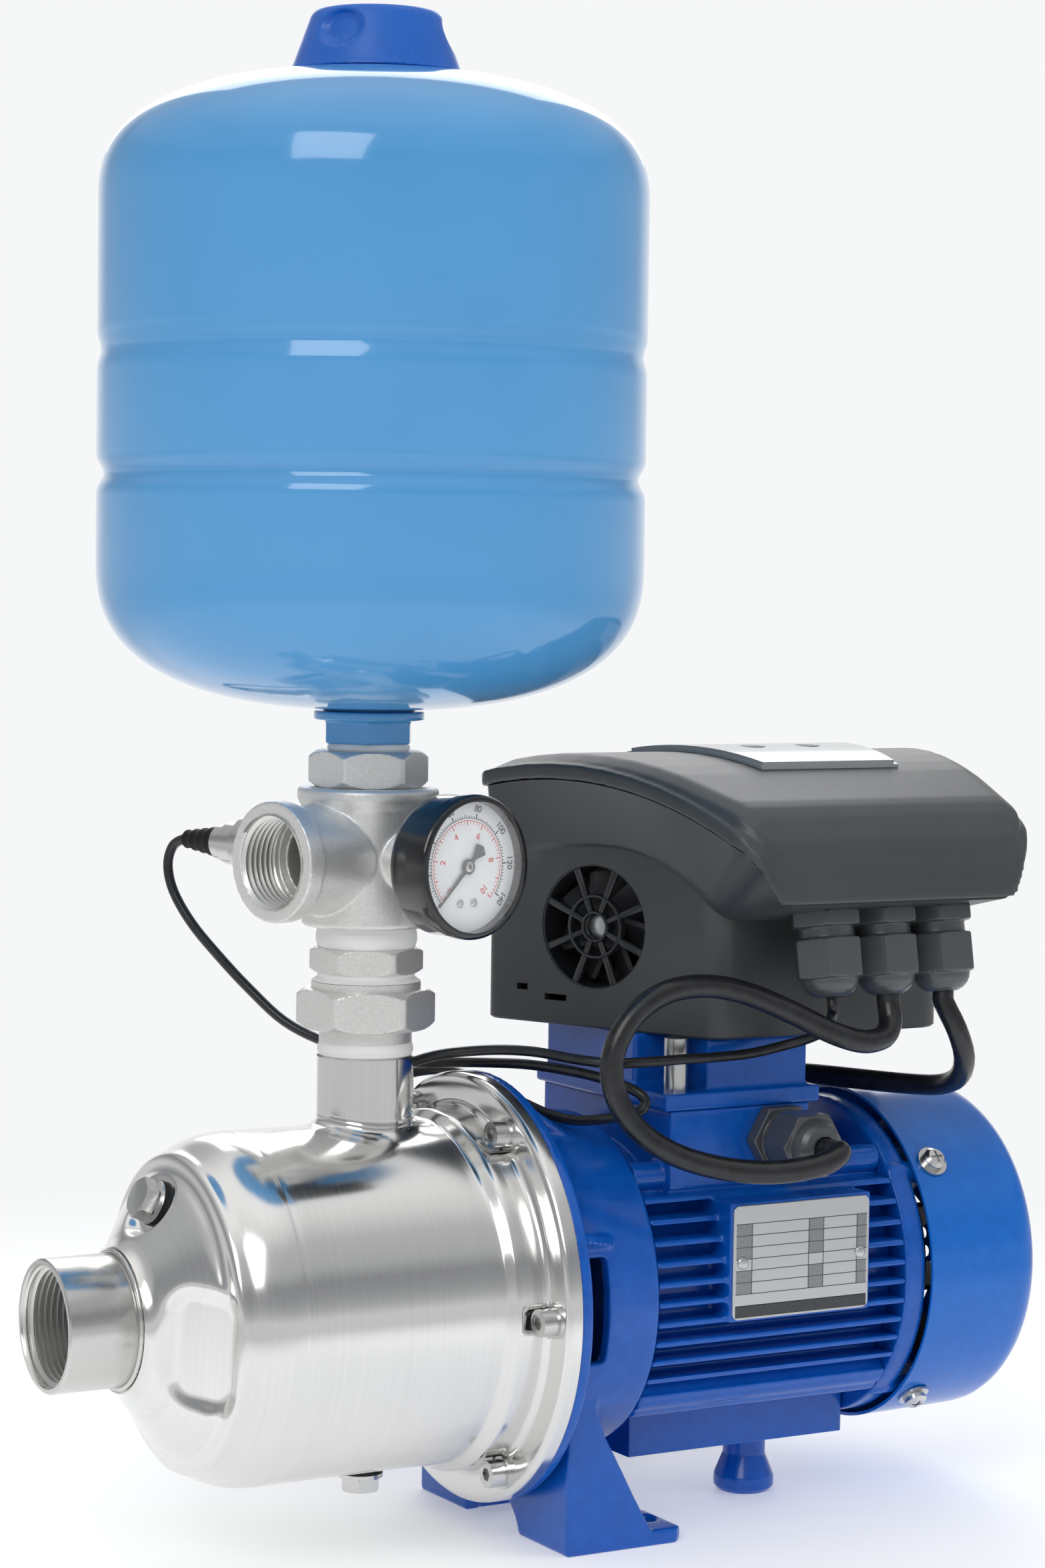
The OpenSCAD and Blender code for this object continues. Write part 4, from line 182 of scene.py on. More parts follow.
def speckled(name, code, rough, scale, detail=2, coarse=0.5, stretch=None, shine=None, tones=None, bump=None,
             apart=None, **settings):
    """A finish under a fine noise, which changes its roughness (shine), its colour (tones) or its height in metres
    (bump). A use that is named in apart has a noise of its own scale and detail"""
    material, tree, shader, place = finish(name, code, rough, **settings)
    if stretch:
        place = add(tree, "ShaderNodeMapping", {"Vector": place, "Scale": stretch}).outputs[0]
    common = add(tree, "ShaderNodeTexNoise", {"Vector": place, "Scale": scale, "Detail": detail, "Roughness": coarse})
    grain = {use: common.outputs["Fac"] for use in ("shine", "tones", "bump")}
    for use, (own_scale, own_detail) in (apart or {}).items():
        own = add(tree, "ShaderNodeTexNoise", {"Vector": place, "Scale": own_scale, "Detail": own_detail})
        grain[use] = own.outputs["Fac"]
    if shine:
        spread = add(tree, "ShaderNodeMapRange", {"Value": grain["shine"], "To Min": shine[0], "To Max": shine[1]})
        join(tree, spread.outputs[0], shader.inputs["Roughness"])
    if tones:
        colours = ramp(add(tree, "ShaderNodeValToRGB", {0: grain["tones"]}), *tones)
        join(tree, colours, shader.inputs["Base Color"])
    if bump:
        relief = add(tree, "ShaderNodeBump", {"Height": grain["bump"], "Distance": bump[0], "Strength": bump[1]})
        join(tree, relief.outputs[0], shader.inputs["Normal"])
    return material


# Soft PVC shows faint scuffs of a few millimetres and a fine drag line from the die
sheath = speckled("pvc_sheath", "1b1c1e", 0.28, 260, 4, shine=(0.22, 0.36),
                  tones=((0.35, "17181a"), (0.7, "232427")), bump=(0.00006, 0.5), apart={"bump": (1400, 2)},
                  Specular_IOR_Level=0.55)

axis_z = 90
riser_x = -98
gland_y = 72
ctrl_z = 182.5
nose_slope = math.atan(8.5 / 46)
gland_long = 24 * 1.33
mouth_y = -gland_y - gland_long * math.sin(nose_slope)
mouth_z = ctrl_z + 44.5 + 23 * math.tan(nose_slope) - gland_long * math.cos(nose_slope)
branch_z = 249.6
branch_turn = math.radians(14.2)
box_gland = Vector((50.5, -46, 144.5))


def gland_mouth(i, out):
    """Where cable i enters its gland, or a point out in front of it"""
    return (77 + 25 * i, mouth_y - out * math.sin(nose_slope), mouth_z - out * math.cos(nose_slope))


def boot_mouth(out):
    reach = 102 + out
    return (riser_x - reach * math.sin(branch_turn), reach * math.cos(branch_turn), branch_z)


def smooth_route(points, pieces=5):
    """The same points with a smooth curve between them, in metres"""
    p = [Vector(v) * mm for v in points]
    p = [2 * p[0] - p[1], *p, 2 * p[-1] - p[-2]]
    route = []
    for a, b, c, d in zip(p, p[1:], p[2:], p[3:]):
        for k in range(pieces):
            t = k / pieces
            route.append(0.5 * (2 * b + (c - a) * t + (2 * a - 5 * b + 4 * c - d) * t * t
                                + (3 * b - a - 3 * c + d) * t ** 3))
    return [*route, p[-2]]


def cable(name, route, diameter, *replaced):
    """A round cable along its route, as a curve with a round section"""
    curve = bpy.data.curves.new(name, "CURVE")
    curve.dimensions = "3D"
    curve.bevel_depth = diameter * mm / 2
    curve.bevel_resolution = 5
    curve.use_fill_caps = True
    spline = curve.splines.new("POLY")
    spline.points.add(len(route) - 1)
    for point, v in zip(spline.points, route):
        point.co = (*v, 1)
    curve.materials.append(sheath)
    piece = bpy.data.objects.new(name, curve)
    bpy.context.scene.collection.objects.link(piece)
    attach(piece, "pump")
    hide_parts(*replaced)
    return piece


sensor_route = smooth_route([
    boot_mouth(-3), boot_mouth(2), (-125.5, 107.5, 246.5), (-126.5, 110, 239), (-125, 108, 229),
    (-120, 102, 217), (-112, 95, 205), (-103, 87, 193), (-93, 76, 181), (-82, 62, 174), (-71, 44, 170.5),
    (-61, 27, 169.5), (-53, 13, 171), (-45, 0, 172), (-38, -13, 172.6), (-31, -25, 172), (-24, -36, 170.6),
    (-18, -45, 168.4), (-13, -51, 165.4), (-11.5, -53, 162.2), (-13.5, -52.5, 159.2), (-18.5, -48.5, 157.2),
    (-24, -41, 155.2), (-28.5, -32, 154), (-33, -21, 155), (-38, -8, 158.5), (-42, 6, 161.5), (-43.5, 20, 164),
    (-45, 34, 165), (-51, 45, 163.5), (-61, 50, 160.5), (-73, 49, 158.5), (-82, 42, 158.5), (-86, 31, 161),
    (-83, 21, 165.5), (-75, 15, 170.5), (-65, 9, 174.5), (-55, 2, 176.5), (-46, -8, 177.8), (-38, -20, 178),
    (-30, -32, 176.6), (-21, -43, 175.8), (-10, -50, 176.4), (3, -52.5, 177), (18, -52.5, 177),
    (33, -53, 177.6), (45, -56, 180), (53, -62, 183.2), (55.5, -69, 187), (54, -74.5, 191),
    gland_mouth(-1, 4), gland_mouth(-1, 0), gland_mouth(-1, -10)])
motor_route = smooth_route([
    gland_mouth(0, -10), gland_mouth(0, 0), gland_mouth(0, 4), (76, -81, 190), (71, -84, 185.5),
    (61, -85.5, 184.5), (49, -83.5, 188), (36, -77, 195), (21, -69, 202), (6, -65, 205), (-9, -63.5, 203.5),
    (-21, -62.5, 197), (-29, -62, 187), (-31.5, -62, 175.5), (-28.5, -63, 164), (-21, -66, 153.5),
    (-9, -71, 145.5), (5, -77.5, 141), (19, -84.5, 139.5), (31, -90, 140.5), (41.5, -93, 143), (48, -90.5, 145.5),
    box_gland - Vector((0, gland_long + 4, 0)), box_gland - Vector((0, gland_long, 0)),
    box_gland - Vector((0, gland_long - 10, 0))])

coil_middle = (100, 140)
coil_out_r = 56
coil_pitch = 8.6
coil_z = 5.3
coil_turns = 4.5
rings_per_turn = 24
plug_place = Vector((25, 166, 12.5))
plug_turn = math.radians(210)
plug_way = Vector((math.cos(plug_turn), math.sin(plug_turn), 0))


def coil_point(i):
    """The coil winds in on the floor, climbs in half a turn, and winds out again on top"""
    turn = i / rings_per_turn
    radius = coil_out_r - coil_pitch * min(turn, coil_turns - turn)
    rise = max(0, min(1, (turn - coil_turns / 2) * 2 + 0.5))
    angle = math.tau * turn - math.pi / 2
    return (coil_middle[0] + radius * math.cos(angle), coil_middle[1] + radius * math.sin(angle),
            coil_z + coil_pitch * rise * rise * (3 - 2 * rise))


supply_route = smooth_route([
    gland_mouth(1, -10), gland_mouth(1, 0), gland_mouth(1, 4), (106, -81.5, 186), (113, -77, 175),
    (119, -66, 166), (121, -52, 161), (117, -37, 159.5), (110, -20, 159.2), (104, -3, 159), (98, 14, 158.5),
    (90, 30, 157.5), (79, 45, 155), (65, 57, 150), (49, 66, 140), (35, 72, 126), (26, 75, 109), (22, 77, 90),
    (23, 79, 71), (30, 81, 53), (43, 82.5, 36), (59, 83.5, 22), (72, 84, 10), (84, 84, coil_z), (92, 84, coil_z),
    *[coil_point(i) for i in range(int(coil_turns * rings_per_turn) + 1)],
    (86, 195.6, coil_z + coil_pitch), (72, 192.4, 13.5), (58, 186, 13), (45, 178, 12.5),
    *[plug_place - plug_way * out for out in (11, 3, -4)]], 3)
sensor_cord = cable("sensor_cord", sensor_route, 3.8, "sensor_cable")
motor_cord = cable("motor_cord", motor_route, 8.6, "motor_cable")
supply_cord = cable("supply_cord", supply_route, 8, "supply_cable", "supply_coil")


def alone(piece):
    """Only this piece is selected, and it is active"""
    bpy.ops.object.select_all(action="DESELECT")
    piece.select_set(True)
    bpy.context.view_layer.objects.active = piece


def smoothed(piece, angle=35):
    alone(piece)
    bpy.ops.object.shade_smooth_by_angle(angle=math.radians(angle))
    return piece


def applied(piece, kind, **settings):
    """Adds a modifier with its settings and applies it"""
    alone(piece)
    change = piece.modifiers.new(kind.lower(), kind)
    for name, value in settings.items():
        setattr(change, name, value)
    bpy.ops.object.modifier_apply(modifier=change.name)
    return piece


body_of = {n: body for body, members in frame["record"]["behaviour"]["bodies"].items() for n in members}


def settle(piece, *stood_for):
    """The piece rides on the body of the nodes that it stands for, and those nodes are hidden"""
    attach(piece, body_of[stood_for[0]])
    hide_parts(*stood_for)
    return piece


def refined(node, name, paint, grain=0, keep=0.5, turn=35, soften=3):
    """A node's own solid as one merged mesh. With a grain in mm its edges are rounded as on a casting or moulding"""
    piece = bpy.data.objects.new(name, frame["nodes"][node].data.copy())
    bpy.context.scene.collection.objects.link(piece)
    alone(piece)
    bpy.ops.mesh.customdata_custom_splitnormals_clear()
    bpy.ops.object.mode_set(mode="EDIT")
    bpy.ops.mesh.select_all(action="SELECT")
    bpy.ops.mesh.remove_doubles(threshold=0.000002)
    bpy.ops.object.mode_set(mode="OBJECT")
    if grain:
        applied(piece, "REMESH", mode="VOXEL", voxel_size=grain * mm)
        applied(piece, "SMOOTH", factor=0.5, iterations=soften)
        applied(piece, "DECIMATE", ratio=keep)
        turn = 60
    piece.data.materials.clear()
    for one in paint if isinstance(paint, (list, tuple)) else [paint]:
        piece.data.materials.append(one)
    smoothed(piece, turn)
    return settle(piece, node)


def dress(node, paint):
    """A CAD node that stays as it is gets a better material"""
    solid = frame["nodes"][node]
    solid.data.materials.clear()
    solid.data.materials.append(paint)


# Moulded nylon is dull with a faint grain, and stamped brass has a soft, rubbed shine
tie_nylon = speckled("tie_nylon", "2a2a2b", 0.45, 900, 3, bump=(0.0001, 1))
coil_tie = refined("coil_tie", "coil_strap", tie_nylon)
plug_brass = speckled("bare_brass", "c9ab62", 0.28, 500, 3, shine=(0.2, 0.4), Metallic=1)
mains_plug = refined("supply_plug", "mains_plug", [sheath, plug_brass], 0.5)
grip_long = 53.2
for face in mains_plug.data.polygons:
    face.material_index = int((face.center - plug_place * mm).dot(plug_way) > grip_long * mm)

# Casing: sheet of stainless steel drawn to a cylinder with a blunt dome, then polished all over.
# A ring is pressed round the dome, with a hollow beside the suction and a flat under the filling plug.
polished, tree, shader, place = finish("polished_stainless_steel", "dfdedb", 0.16, Metallic=1)
# The polishing belt runs round the shell and leaves fine lines, drawn here 0.6 mm apart so that they show
lines = add(tree, "ShaderNodeMapping", {"Vector": place, "Scale": (1700, 9, 9)})
brushed = add(tree, "ShaderNodeTexNoise", {"Vector": lines.outputs[0], "Scale": 1.0, "Detail": 3.0, "Roughness": 0.6})
cloudy = add(tree, "ShaderNodeTexNoise", {"Vector": place, "Scale": 26.0, "Detail": 2.0})
blend = add(tree, "ShaderNodeMath", {0: brushed.outputs["Fac"], 1: cloudy.outputs["Fac"]}, operation="ADD")
join(tree, add(tree, "ShaderNodeMapRange", {"Value": blend.outputs[0], "From Min": 0.6, "From Max": 1.4,
     "To Min": 0.13, "To Max": 0.18}).outputs[0], shader.inputs["Roughness"])
tone = add(tree, "ShaderNodeValToRGB", {0: brushed.outputs["Fac"]})
join(tree, ramp(tone, (0.3, "e2e1df"), (0.7, "e8e7e5")), shader.inputs["Base Color"])
join(tree, add(tree, "ShaderNodeBump", {"Height": brushed.outputs["Fac"], "Distance": 0.000006, "Strength": 0.2})
     .outputs[0], shader.inputs["Normal"])


def arc(x, y, r, start, end, steps=8):
    """Points of an arc, with its angles in degrees"""
    turns = [math.radians(start + (end - start) * k / steps) for k in range(steps + 1)]
    return [(x + r * math.cos(t), y + r * math.sin(t)) for t in turns]


def between(a, b, steps):
    """Points on a straight line, without its ends"""
    return [tuple(p + (q - p) * k / steps for p, q in zip(a, b)) for k in range(1, steps)]


shaft_line = Matrix.Translation((0, 0, axis_z * mm)) @ Matrix.Rotation(math.pi / 2, 4, "Y")


def meshed(name, verts, faces, edges=()):
    """A new piece from its points, faces and edges"""
    mesh = bpy.data.meshes.new(name)
    mesh.from_pydata(verts, edges, faces)
    piece = bpy.data.objects.new(name, mesh)
    bpy.context.scene.collection.objects.link(piece)
    return piece


def outward(piece):
    """All faces agree and, on a closed piece, point outwards"""
    alone(piece)
    bpy.ops.object.mode_set(mode="EDIT")
    bpy.ops.mesh.select_all(action="SELECT")
    bpy.ops.mesh.normals_make_consistent(inside=False)
    bpy.ops.object.mode_set(mode="OBJECT")
    return piece


def flipped(piece):
    """All faces turned round"""
    alone(piece)
    bpy.ops.object.mode_set(mode="EDIT")
    bpy.ops.mesh.select_all(action="SELECT")
    bpy.ops.mesh.flip_normals()
    bpy.ops.object.mode_set(mode="OBJECT")
    return piece


def turned(name, line, stand=shaft_line, steps=96, closed=True):
    """A profile of stations and radii in mm, spun about the z axis of the stand"""
    ring = [(i, i + 1) for i in range(len(line) - 1)]
    if closed:
        ring.append((len(line) - 1, 0))
    piece = meshed(name, [stand @ Vector((-r * mm, 0, s * mm)) for s, r in line], [], ring)
    alone(piece)
    bpy.ops.object.mode_set(mode="EDIT")
    bpy.ops.mesh.select_all(action="SELECT")
    bpy.ops.mesh.spin(steps=steps, angle=math.tau, center=stand.translation, axis=stand.col[2].xyz)
    bpy.ops.mesh.select_all(action="SELECT")
    bpy.ops.mesh.remove_doubles(threshold=0.000004)
    bpy.ops.mesh.normals_make_consistent(inside=False)
    bpy.ops.object.mode_set(mode="OBJECT")
    return piece


def painted(piece, *paints):
    piece.data.materials.clear()
    for paint in paints:
        piece.data.materials.append(paint)
    return piece


def fitted(piece, paint, angle, node):
    """A finished piece gets its paint, is smooth up to an angle in degrees, and stands for its node"""
    return settle(smoothed(painted(piece, paint), angle), node)


slope = math.radians(55)
shoulder_r = 31
shoulder_x = -151
casing_r = 63
neck_x = -196
neck_r = 24.25
flange_x = -52
flange_face_x = -58


def cone_station(radius):
    return shoulder_x - shoulder_r * math.sin(slope) + (
        radius - casing_r + shoulder_r - shoulder_r * math.cos(slope)) / math.tan(slope)


ring_r = 55
ring_rise = 1.5
ring_w = 1.8
valley_r = 51
valley_depth = 0.8
neck_round = 5
cone_foot = (cone_station(neck_r), neck_r)
cone_head = arc(shoulder_x, casing_r - shoulder_r, shoulder_r, 145, 90, 34)
cone_line = [cone_foot, *between(cone_foot, cone_head[0], 42), *cone_head]
raised = []
for x, r in cone_line:
    lift = 0
    if x < shoulder_x - 5:
        lift = ring_rise * math.exp(-((r - ring_r) / ring_w) ** 2) - valley_depth * math.exp(
            -((r - valley_r) / 2) ** 2)
    foot = max(0, 1 - (r - neck_r) / neck_round)
    tilt = slope if r < cone_head[0][1] else math.asin((shoulder_x - x) / shoulder_r)
    raised.append((x - lift * math.sin(tilt) - 1.2 * foot ** 2, r + lift * math.cos(tilt) + 1.4 * foot ** 2))
casing_line = [(neck_x, neck_r), (neck_x + 1, neck_r + 0.1), *raised,
               (shoulder_x + 0.5, casing_r - 0.12), (shoulder_x + 1.1, casing_r),
               *between((shoulder_x + 1.1, casing_r), (-75, casing_r), 22),
               *arc(-75, 66, 3, -90, -45, 6), *arc(-69, 63.2, 3, 135, 90, 6),
               *between((-69, 66.2), (-61, 66.2), 6), *arc(-61, 69.2, 3, -90, 0, 8),
               (flange_face_x, 71), (flange_face_x, 74), *arc(-55.5, 76.5, 2.5, 180, 90, 6), (flange_x, 79)]
casing = turned("casing_shell", casing_line, steps=288, closed=False)
# Each of the six screws stands in a round recess behind the flange, on this ring
screw_ring_r = 71
recess_r = 6.6
recess_x = flange_face_x - 11
recess_ramp = 2.5
flat_slope = math.radians(68)


def soft_step(value):
    value = max(0, min(1, value))
    return value * value * (3 - 2 * value)


def press(point, clock, radius, tilt, half_along, half_round, corner, depth, edge):
    """Moves a point of the dome in to the flat bottom of a pressed hollow, if it lies inside it"""
    turn = math.radians(clock)
    out = Vector((0, -math.sin(turn), math.cos(turn)))
    aside = Vector((0, math.cos(turn), math.sin(turn)))
    along = Vector((math.cos(tilt), 0, 0)) + out * math.sin(tilt)
    normal = Vector((-math.sin(tilt), 0, 0)) + out * math.cos(tilt)
    way = point - Vector((cone_station(radius), 0, axis_z)) - out * radius
    a = abs(way.dot(along)) - half_along + corner
    b = abs(way.dot(aside)) - half_round + corner
    inside = corner - math.hypot(max(a, 0), max(b, 0)) - min(0, max(a, b))
    share = soft_step((inside + edge / 2) / edge)
    return point + normal * (-depth - way.dot(normal)) * share if -depth < way.dot(normal) else point


for vertex in casing.data.vertices:
    point = vertex.co / mm
    if point.x < shoulder_x - 4:
        point = press(point, clock=98, radius=41, tilt=slope, half_along=13.5, half_round=20.5, corner=9, depth=5.6,
                      edge=7.5)
        point = press(point, clock=0, radius=41, tilt=flat_slope, half_along=12.5, half_round=12.5, corner=12.5,
                      depth=3, edge=3.6)
    elif recess_x < point.x < flange_face_x + 0.2:
        radius = math.hypot(point.y, point.z - axis_z)
        turn = math.atan2(point.y, point.z - axis_z)
        off = (turn - math.pi / 6) % (math.pi / 3)
        off = min(off, math.pi / 3 - off) * screw_ring_r
        if off < recess_r and radius < screw_ring_r:
            wall = screw_ring_r - math.sqrt(recess_r ** 2 - off ** 2)
            share = soft_step((point.x - recess_x) / recess_ramp) * (radius > wall)
            shrink = (radius + (wall - radius) * share) / radius
            if point.x < flange_face_x - 0.1:
                point.y *= shrink
                point.z = axis_z + (point.z - axis_z) * shrink
    vertex.co = point * mm
outward(casing)
casing_middle = Vector((-100, 0, axis_z)) * mm
if sum(f.normal.dot(f.center - casing_middle) for f in casing.data.polygons) < 0:
    flipped(casing)
sheet_t = 1.4
applied(casing, "SOLIDIFY", thickness=sheet_t * mm, offset=-1)
fitted(casing, polished, 40, "pump_casing")

# Sockets: thick stainless tube, turned and threaded inside on a lathe, then welded to the shell.
# The suction socket takes a pipe of one and a quarter inches, and the upper one carries the riser.
# Tool marks run round each tube: drawn 0.8 mm apart, a few times wider than real ones, so that they show
turned_steel = speckled("turned_stainless_steel", "d2d1ce", 0.2, 420, 5, shine=(0.14, 0.3), bump=(0.00003, 0.4),
                        Metallic=1)
# A cut thread is duller than the turned face: torn metal on every flank
cut_thread = speckled("cut_pipe_thread", "e2e1de", 0.38, 1500, 3, shine=(0.3, 0.48), Metallic=1)


def tube_mesh(name, rings, paint):
    """A closed mesh from rings of points, each joined to the next, with flat ends"""
    count = len(rings[0])
    faces = [list(range(count))]
    for i in range(len(rings) - 1):
        low = i * count
        faces += [[low + k, low + count + k, low + count + (k + 1) % count, low + (k + 1) % count]
                  for k in range(count)]
    faces.append([len(rings) * count - 1 - k for k in range(count)])
    piece = outward(meshed(name, [v for ring in rings for v in ring], faces))
    return smoothed(painted(piece, paint), 30)


def inner_thread(name, stand, wall_r, depth, pitch, start, turns, paint):
    """A pipe thread: one ridge that winds along the wall of a bore about the z axis of the stand"""
    steps = 60
    rings = []
    for i in range(int(turns * steps) + 1):
        angle = i * math.tau / steps
        crest = depth * min(1, i / steps, turns - i / steps)
        shape = [(wall_r + 0.15, 0), (wall_r - crest, pitch * 0.42), (wall_r - crest, pitch * 0.58),
                 (wall_r + 0.15, pitch)]
        rings.append([stand @ (Vector((r * math.cos(angle), r * math.sin(angle),
                                       start + pitch * i / steps + s)) * mm) for r, s in shape])
    return tube_mesh(name, rings, paint)


pipe_pitch = 2.309
suction_line = [(-222, 21.6), (-222, 22.9), (-221.4, 23.5), (-196.6, 23.5), (-196, 23.2), (-196, 21), (-220.9, 21)]
suction = turned("suction_socket", suction_line, steps=144)
weld = turned("suction_weld", arc(-195.8, 23.9, 0.9, 0, 330, 11), steps=180)
# The weld was laid by hand, so its bead is a little uneven
for vertex in weld.data.vertices:
    vertex.co += (vertex.co - Vector((vertex.co.x, 0, axis_z * mm))) * 0.006 * noise.noise(vertex.co * 900)
suction_thread = inner_thread("suction_thread", shaft_line, 21, 1.5, pipe_pitch, -221.8, 10, cut_thread)
riser_stand = Matrix.Translation((riser_x * mm, 0, 0))
riser_top = 178.3
socket_r = 17.5
flare = 3
flare_out = 6
collar_z = axis_z + casing_r + flare
upright_line = [(riser_top - 0.5, 15.5), (riser_top, 16), (riser_top, 17), (riser_top - 0.5, socket_r),
                *between((riser_top - 0.5, socket_r), (collar_z + 0.8, socket_r), 16),
                (collar_z + 0.8, socket_r), (collar_z + 0.4, socket_r + 0.35), (collar_z, socket_r)]
for k in range(1, 11):
    a = math.radians(9 * k)
    upright_line.append((collar_z - flare * math.sin(a), socket_r + flare_out * (1 - math.cos(a))))
upright_line += [(axis_z + casing_r - 1, socket_r + flare_out + 0.4), (axis_z + casing_r - 1.4, 15.5)]
upright = turned("discharge_socket", upright_line, riser_stand, 144)
for vertex in upright.data.vertices:
    low = soft_step((collar_z + 5 - vertex.co.z / mm) / 5)
    side = min(abs(vertex.co.y) / mm, casing_r)
    vertex.co.z -= low * (casing_r - math.sqrt(casing_r ** 2 - side ** 2)) * mm
fitted(suction, turned_steel, 30, "pipe_sockets")
fitted(weld, turned_steel, 60, "pipe_sockets")
settle(suction_thread, "pipe_sockets")
fitted(upright, polished, 40, "pipe_sockets")

# Casing screws and plugs: stainless hexagon socket screws, and two hexagon plugs on black rubber washers.
# Rolled and tumbled screws have a soft shine with small uneven spots of half a millimetre
bright = speckled("plain_stainless_screws", "cfcfcd", 0.2, 1600, 3, shine=(0.12, 0.34), Metallic=1)
# Moulded rubber is dull, with a fine skin
rubber = speckled("moulded_rubber", "161617", 0.6, 700, 3, bump=(0.00005, 1), Specular_IOR_Level=0.3)
refined("casing_screws", "socket_head_screws", bright)
refined("filling_plug", "hexagon_filling_plug", bright)
refined("drain_plug", "hexagon_drain_plug", bright)
refined("casing_seals", "rubber_washers", rubber)

# Inside the casing: three pressed steel stages on the shaft, held by a nut, push the water on from one to the next.
# A seal of graphite that turns on a ceramic seat keeps the water out of the motor.
# Pressed sheet is satin, fired ceramic is smooth and pale, and pressed graphite is dark with a dull shine
pressed = speckled("pressed_stainless_steel", "b9bcbd", 0.3, 300, 4, shine=(0.22, 0.42), Metallic=1)
ceramic = speckled("fired_ceramic", "e2e0d8", 0.15, 500, tones=((0.3, "dddbd2"), (0.7, "e8e6df")))
graphite = speckled("pressed_graphite", "303033", 0.35, 900, tones=((0.3, "2a2a2c"), (0.7, "3a3a3d")))
for node in ("seal_plate", "stage_bowls", "impellers", "rotor_shaft", "impeller_nut"):
    dress(node, pressed)
dress("seal_seat", ceramic)
dress("rotating_seal", graphite)

# Bracket and foot: one iron casting that carries the casing, the motor and the whole pump on two bolts.
# It is machined where it meets its neighbours and sprayed with blue gloss enamel.
enamel, tree, shader, place = finish("blue_gloss_enamel_on_casting", "0856b4", 0.2, Specular_IOR_Level=0.5)
# The sand's grain shows through the paint as dimples of 1 to 2 mm, and the spray adds orange peel
sand = add(tree, "ShaderNodeTexNoise", {"Vector": place, "Scale": 620.0, "Detail": 3.0, "Roughness": 0.6})
peel = add(tree, "ShaderNodeTexNoise", {"Vector": place, "Scale": 190.0, "Detail": 2.0})
both = add(tree, "ShaderNodeMath", {0: sand.outputs["Fac"], 1: peel.outputs["Fac"]}, operation="ADD")
join(tree, add(tree, "ShaderNodeBump", {"Height": both.outputs[0], "Distance": 0.00007, "Strength": 0.4}).outputs[0],
     shader.inputs["Normal"])
tone = add(tree, "ShaderNodeValToRGB", {0: peel.outputs["Fac"]})
join(tree, ramp(tone, (0.3, "0652ae"), (0.7, "095aba")), shader.inputs["Base Color"])
join(tree, add(tree, "ShaderNodeMapRange", {"Value": peel.outputs["Fac"], "To Min": 0.16, "To Max": 0.26}).outputs[0],
     shader.inputs["Roughness"])
refined("motor_bracket", "cast_bracket", enamel, 0.8, soften=8)

# Motor: a finned aluminium casting, its end shield, and the block of the terminal box that carries the controller.
# They are painted with the bracket. Inside turn the steel rotor in its copper winding and, behind it, a plastic fan.
refined("motor_frame", "finned_frame", enamel, 0.75, 0.25, soften=4)
refined("rear_end_shield", "end_shield", enamel, 0.8, soften=6)
refined("controller_adapter", "adapter_block", enamel, 0.7, soften=6)
# The edges of stacked sheets show as lines, varnished wire as glossy brown strands
laminated, tree, shader, place = finish("stacked_laminations", "7d8084", 0.45, Metallic=0.9)
sheets = add(tree, "ShaderNodeTexWave", {"Vector": place, "Scale": 320.0})
join(tree, ramp(add(tree, "ShaderNodeValToRGB", {0: sheets.outputs["Fac"]}), (0.2, "686b6f"), (0.8, "8f9296")),
     shader.inputs["Base Color"])
copper, tree, shader, place = finish("varnished_copper_wire", "a65a28", 0.3, Metallic=0.7)
wires = add(tree, "ShaderNodeTexWave", {"Vector": place, "Scale": 200.0, "Distortion": 2.0})
join(tree, ramp(add(tree, "ShaderNodeValToRGB", {0: wires.outputs["Fac"]}), (0.2, "8c4a20"), (0.8, "bd6a33")),
     shader.inputs["Base Color"])
# Moulded polypropylene is dull and a little wavy
fan_plastic = speckled("moulded_polypropylene", "2a2b2e", 0.5, 500, bump=(0.00005, 1))
for node in ("stator_core", "rotor_core"):
    dress(node, laminated)
dress("stator_winding", copper)
for node in ("bearings", "tie_bolts"):
    dress(node, bright)
dress("motor_fan", fan_plastic)
refined("adapter_bolts", "spacer_bolts", bright)
refined("fan_cover_screws", "cross_head_screws", bright)
refined("motor_foot", "cup_foot", enamel, 0.5, soften=6)

# Fan cover: steel sheet, deep drawn to a cup with round shoulders and slotted at the back for the air.
# It is painted to match the castings and held by cross-head screws.
# On smooth sheet the enamel shines more than on a casting, and shows only its orange peel
sheet_enamel = speckled("blue_gloss_enamel_on_sheet", "0867c4", 0.16, 160, tones=((0.3, "0764c0"), (0.7, "096ac9")),
                        bump=(0.00012, 0.35))
refined("fan_cover", "drawn_fan_cover", sheet_enamel)

# Nameplate: a thin aluminium plate held on the fins by two rivets, with an etched table.
# Its maker's words are left off, and only the ruled lines and shaded columns stay.
# Anodised sheet keeps its rolling lines as a satin streak
plate_metal = speckled("anodised_aluminium_plate", "c9cacb", 0.32, 1, 3, stretch=(30, 30, 2200), shine=(0.24, 0.42),
                       Metallic=0.85)
plate_mid = (51, 102.5)
plate_half = (30, 21)
plate_back_y = -62.5
plate_front_y = -63.3


def rounded(half_w, half_h, r, y):
    """A rounded rectangle in the plane of the plate"""
    ring = []
    for a, sx, sz in ((0, 1, 1), (90, -1, 1), (180, -1, -1), (270, 1, -1)):
        ring += [(plate_mid[0] + x, plate_mid[1] + z) for x, z in
                 arc(sx * (half_w - r), sz * (half_h - r), r, a, a + 90, 6)]
    return [Vector((x, y, z)) * mm for x, z in ring]


plate = tube_mesh("riveted_nameplate", [
    rounded(*plate_half, 2.5, plate_back_y), rounded(*plate_half, 2.5, plate_front_y + 0.2),
    rounded(plate_half[0] - 0.2, plate_half[1] - 0.2, 2.3, plate_front_y)], plate_metal)
settle(plate, "nameplate")
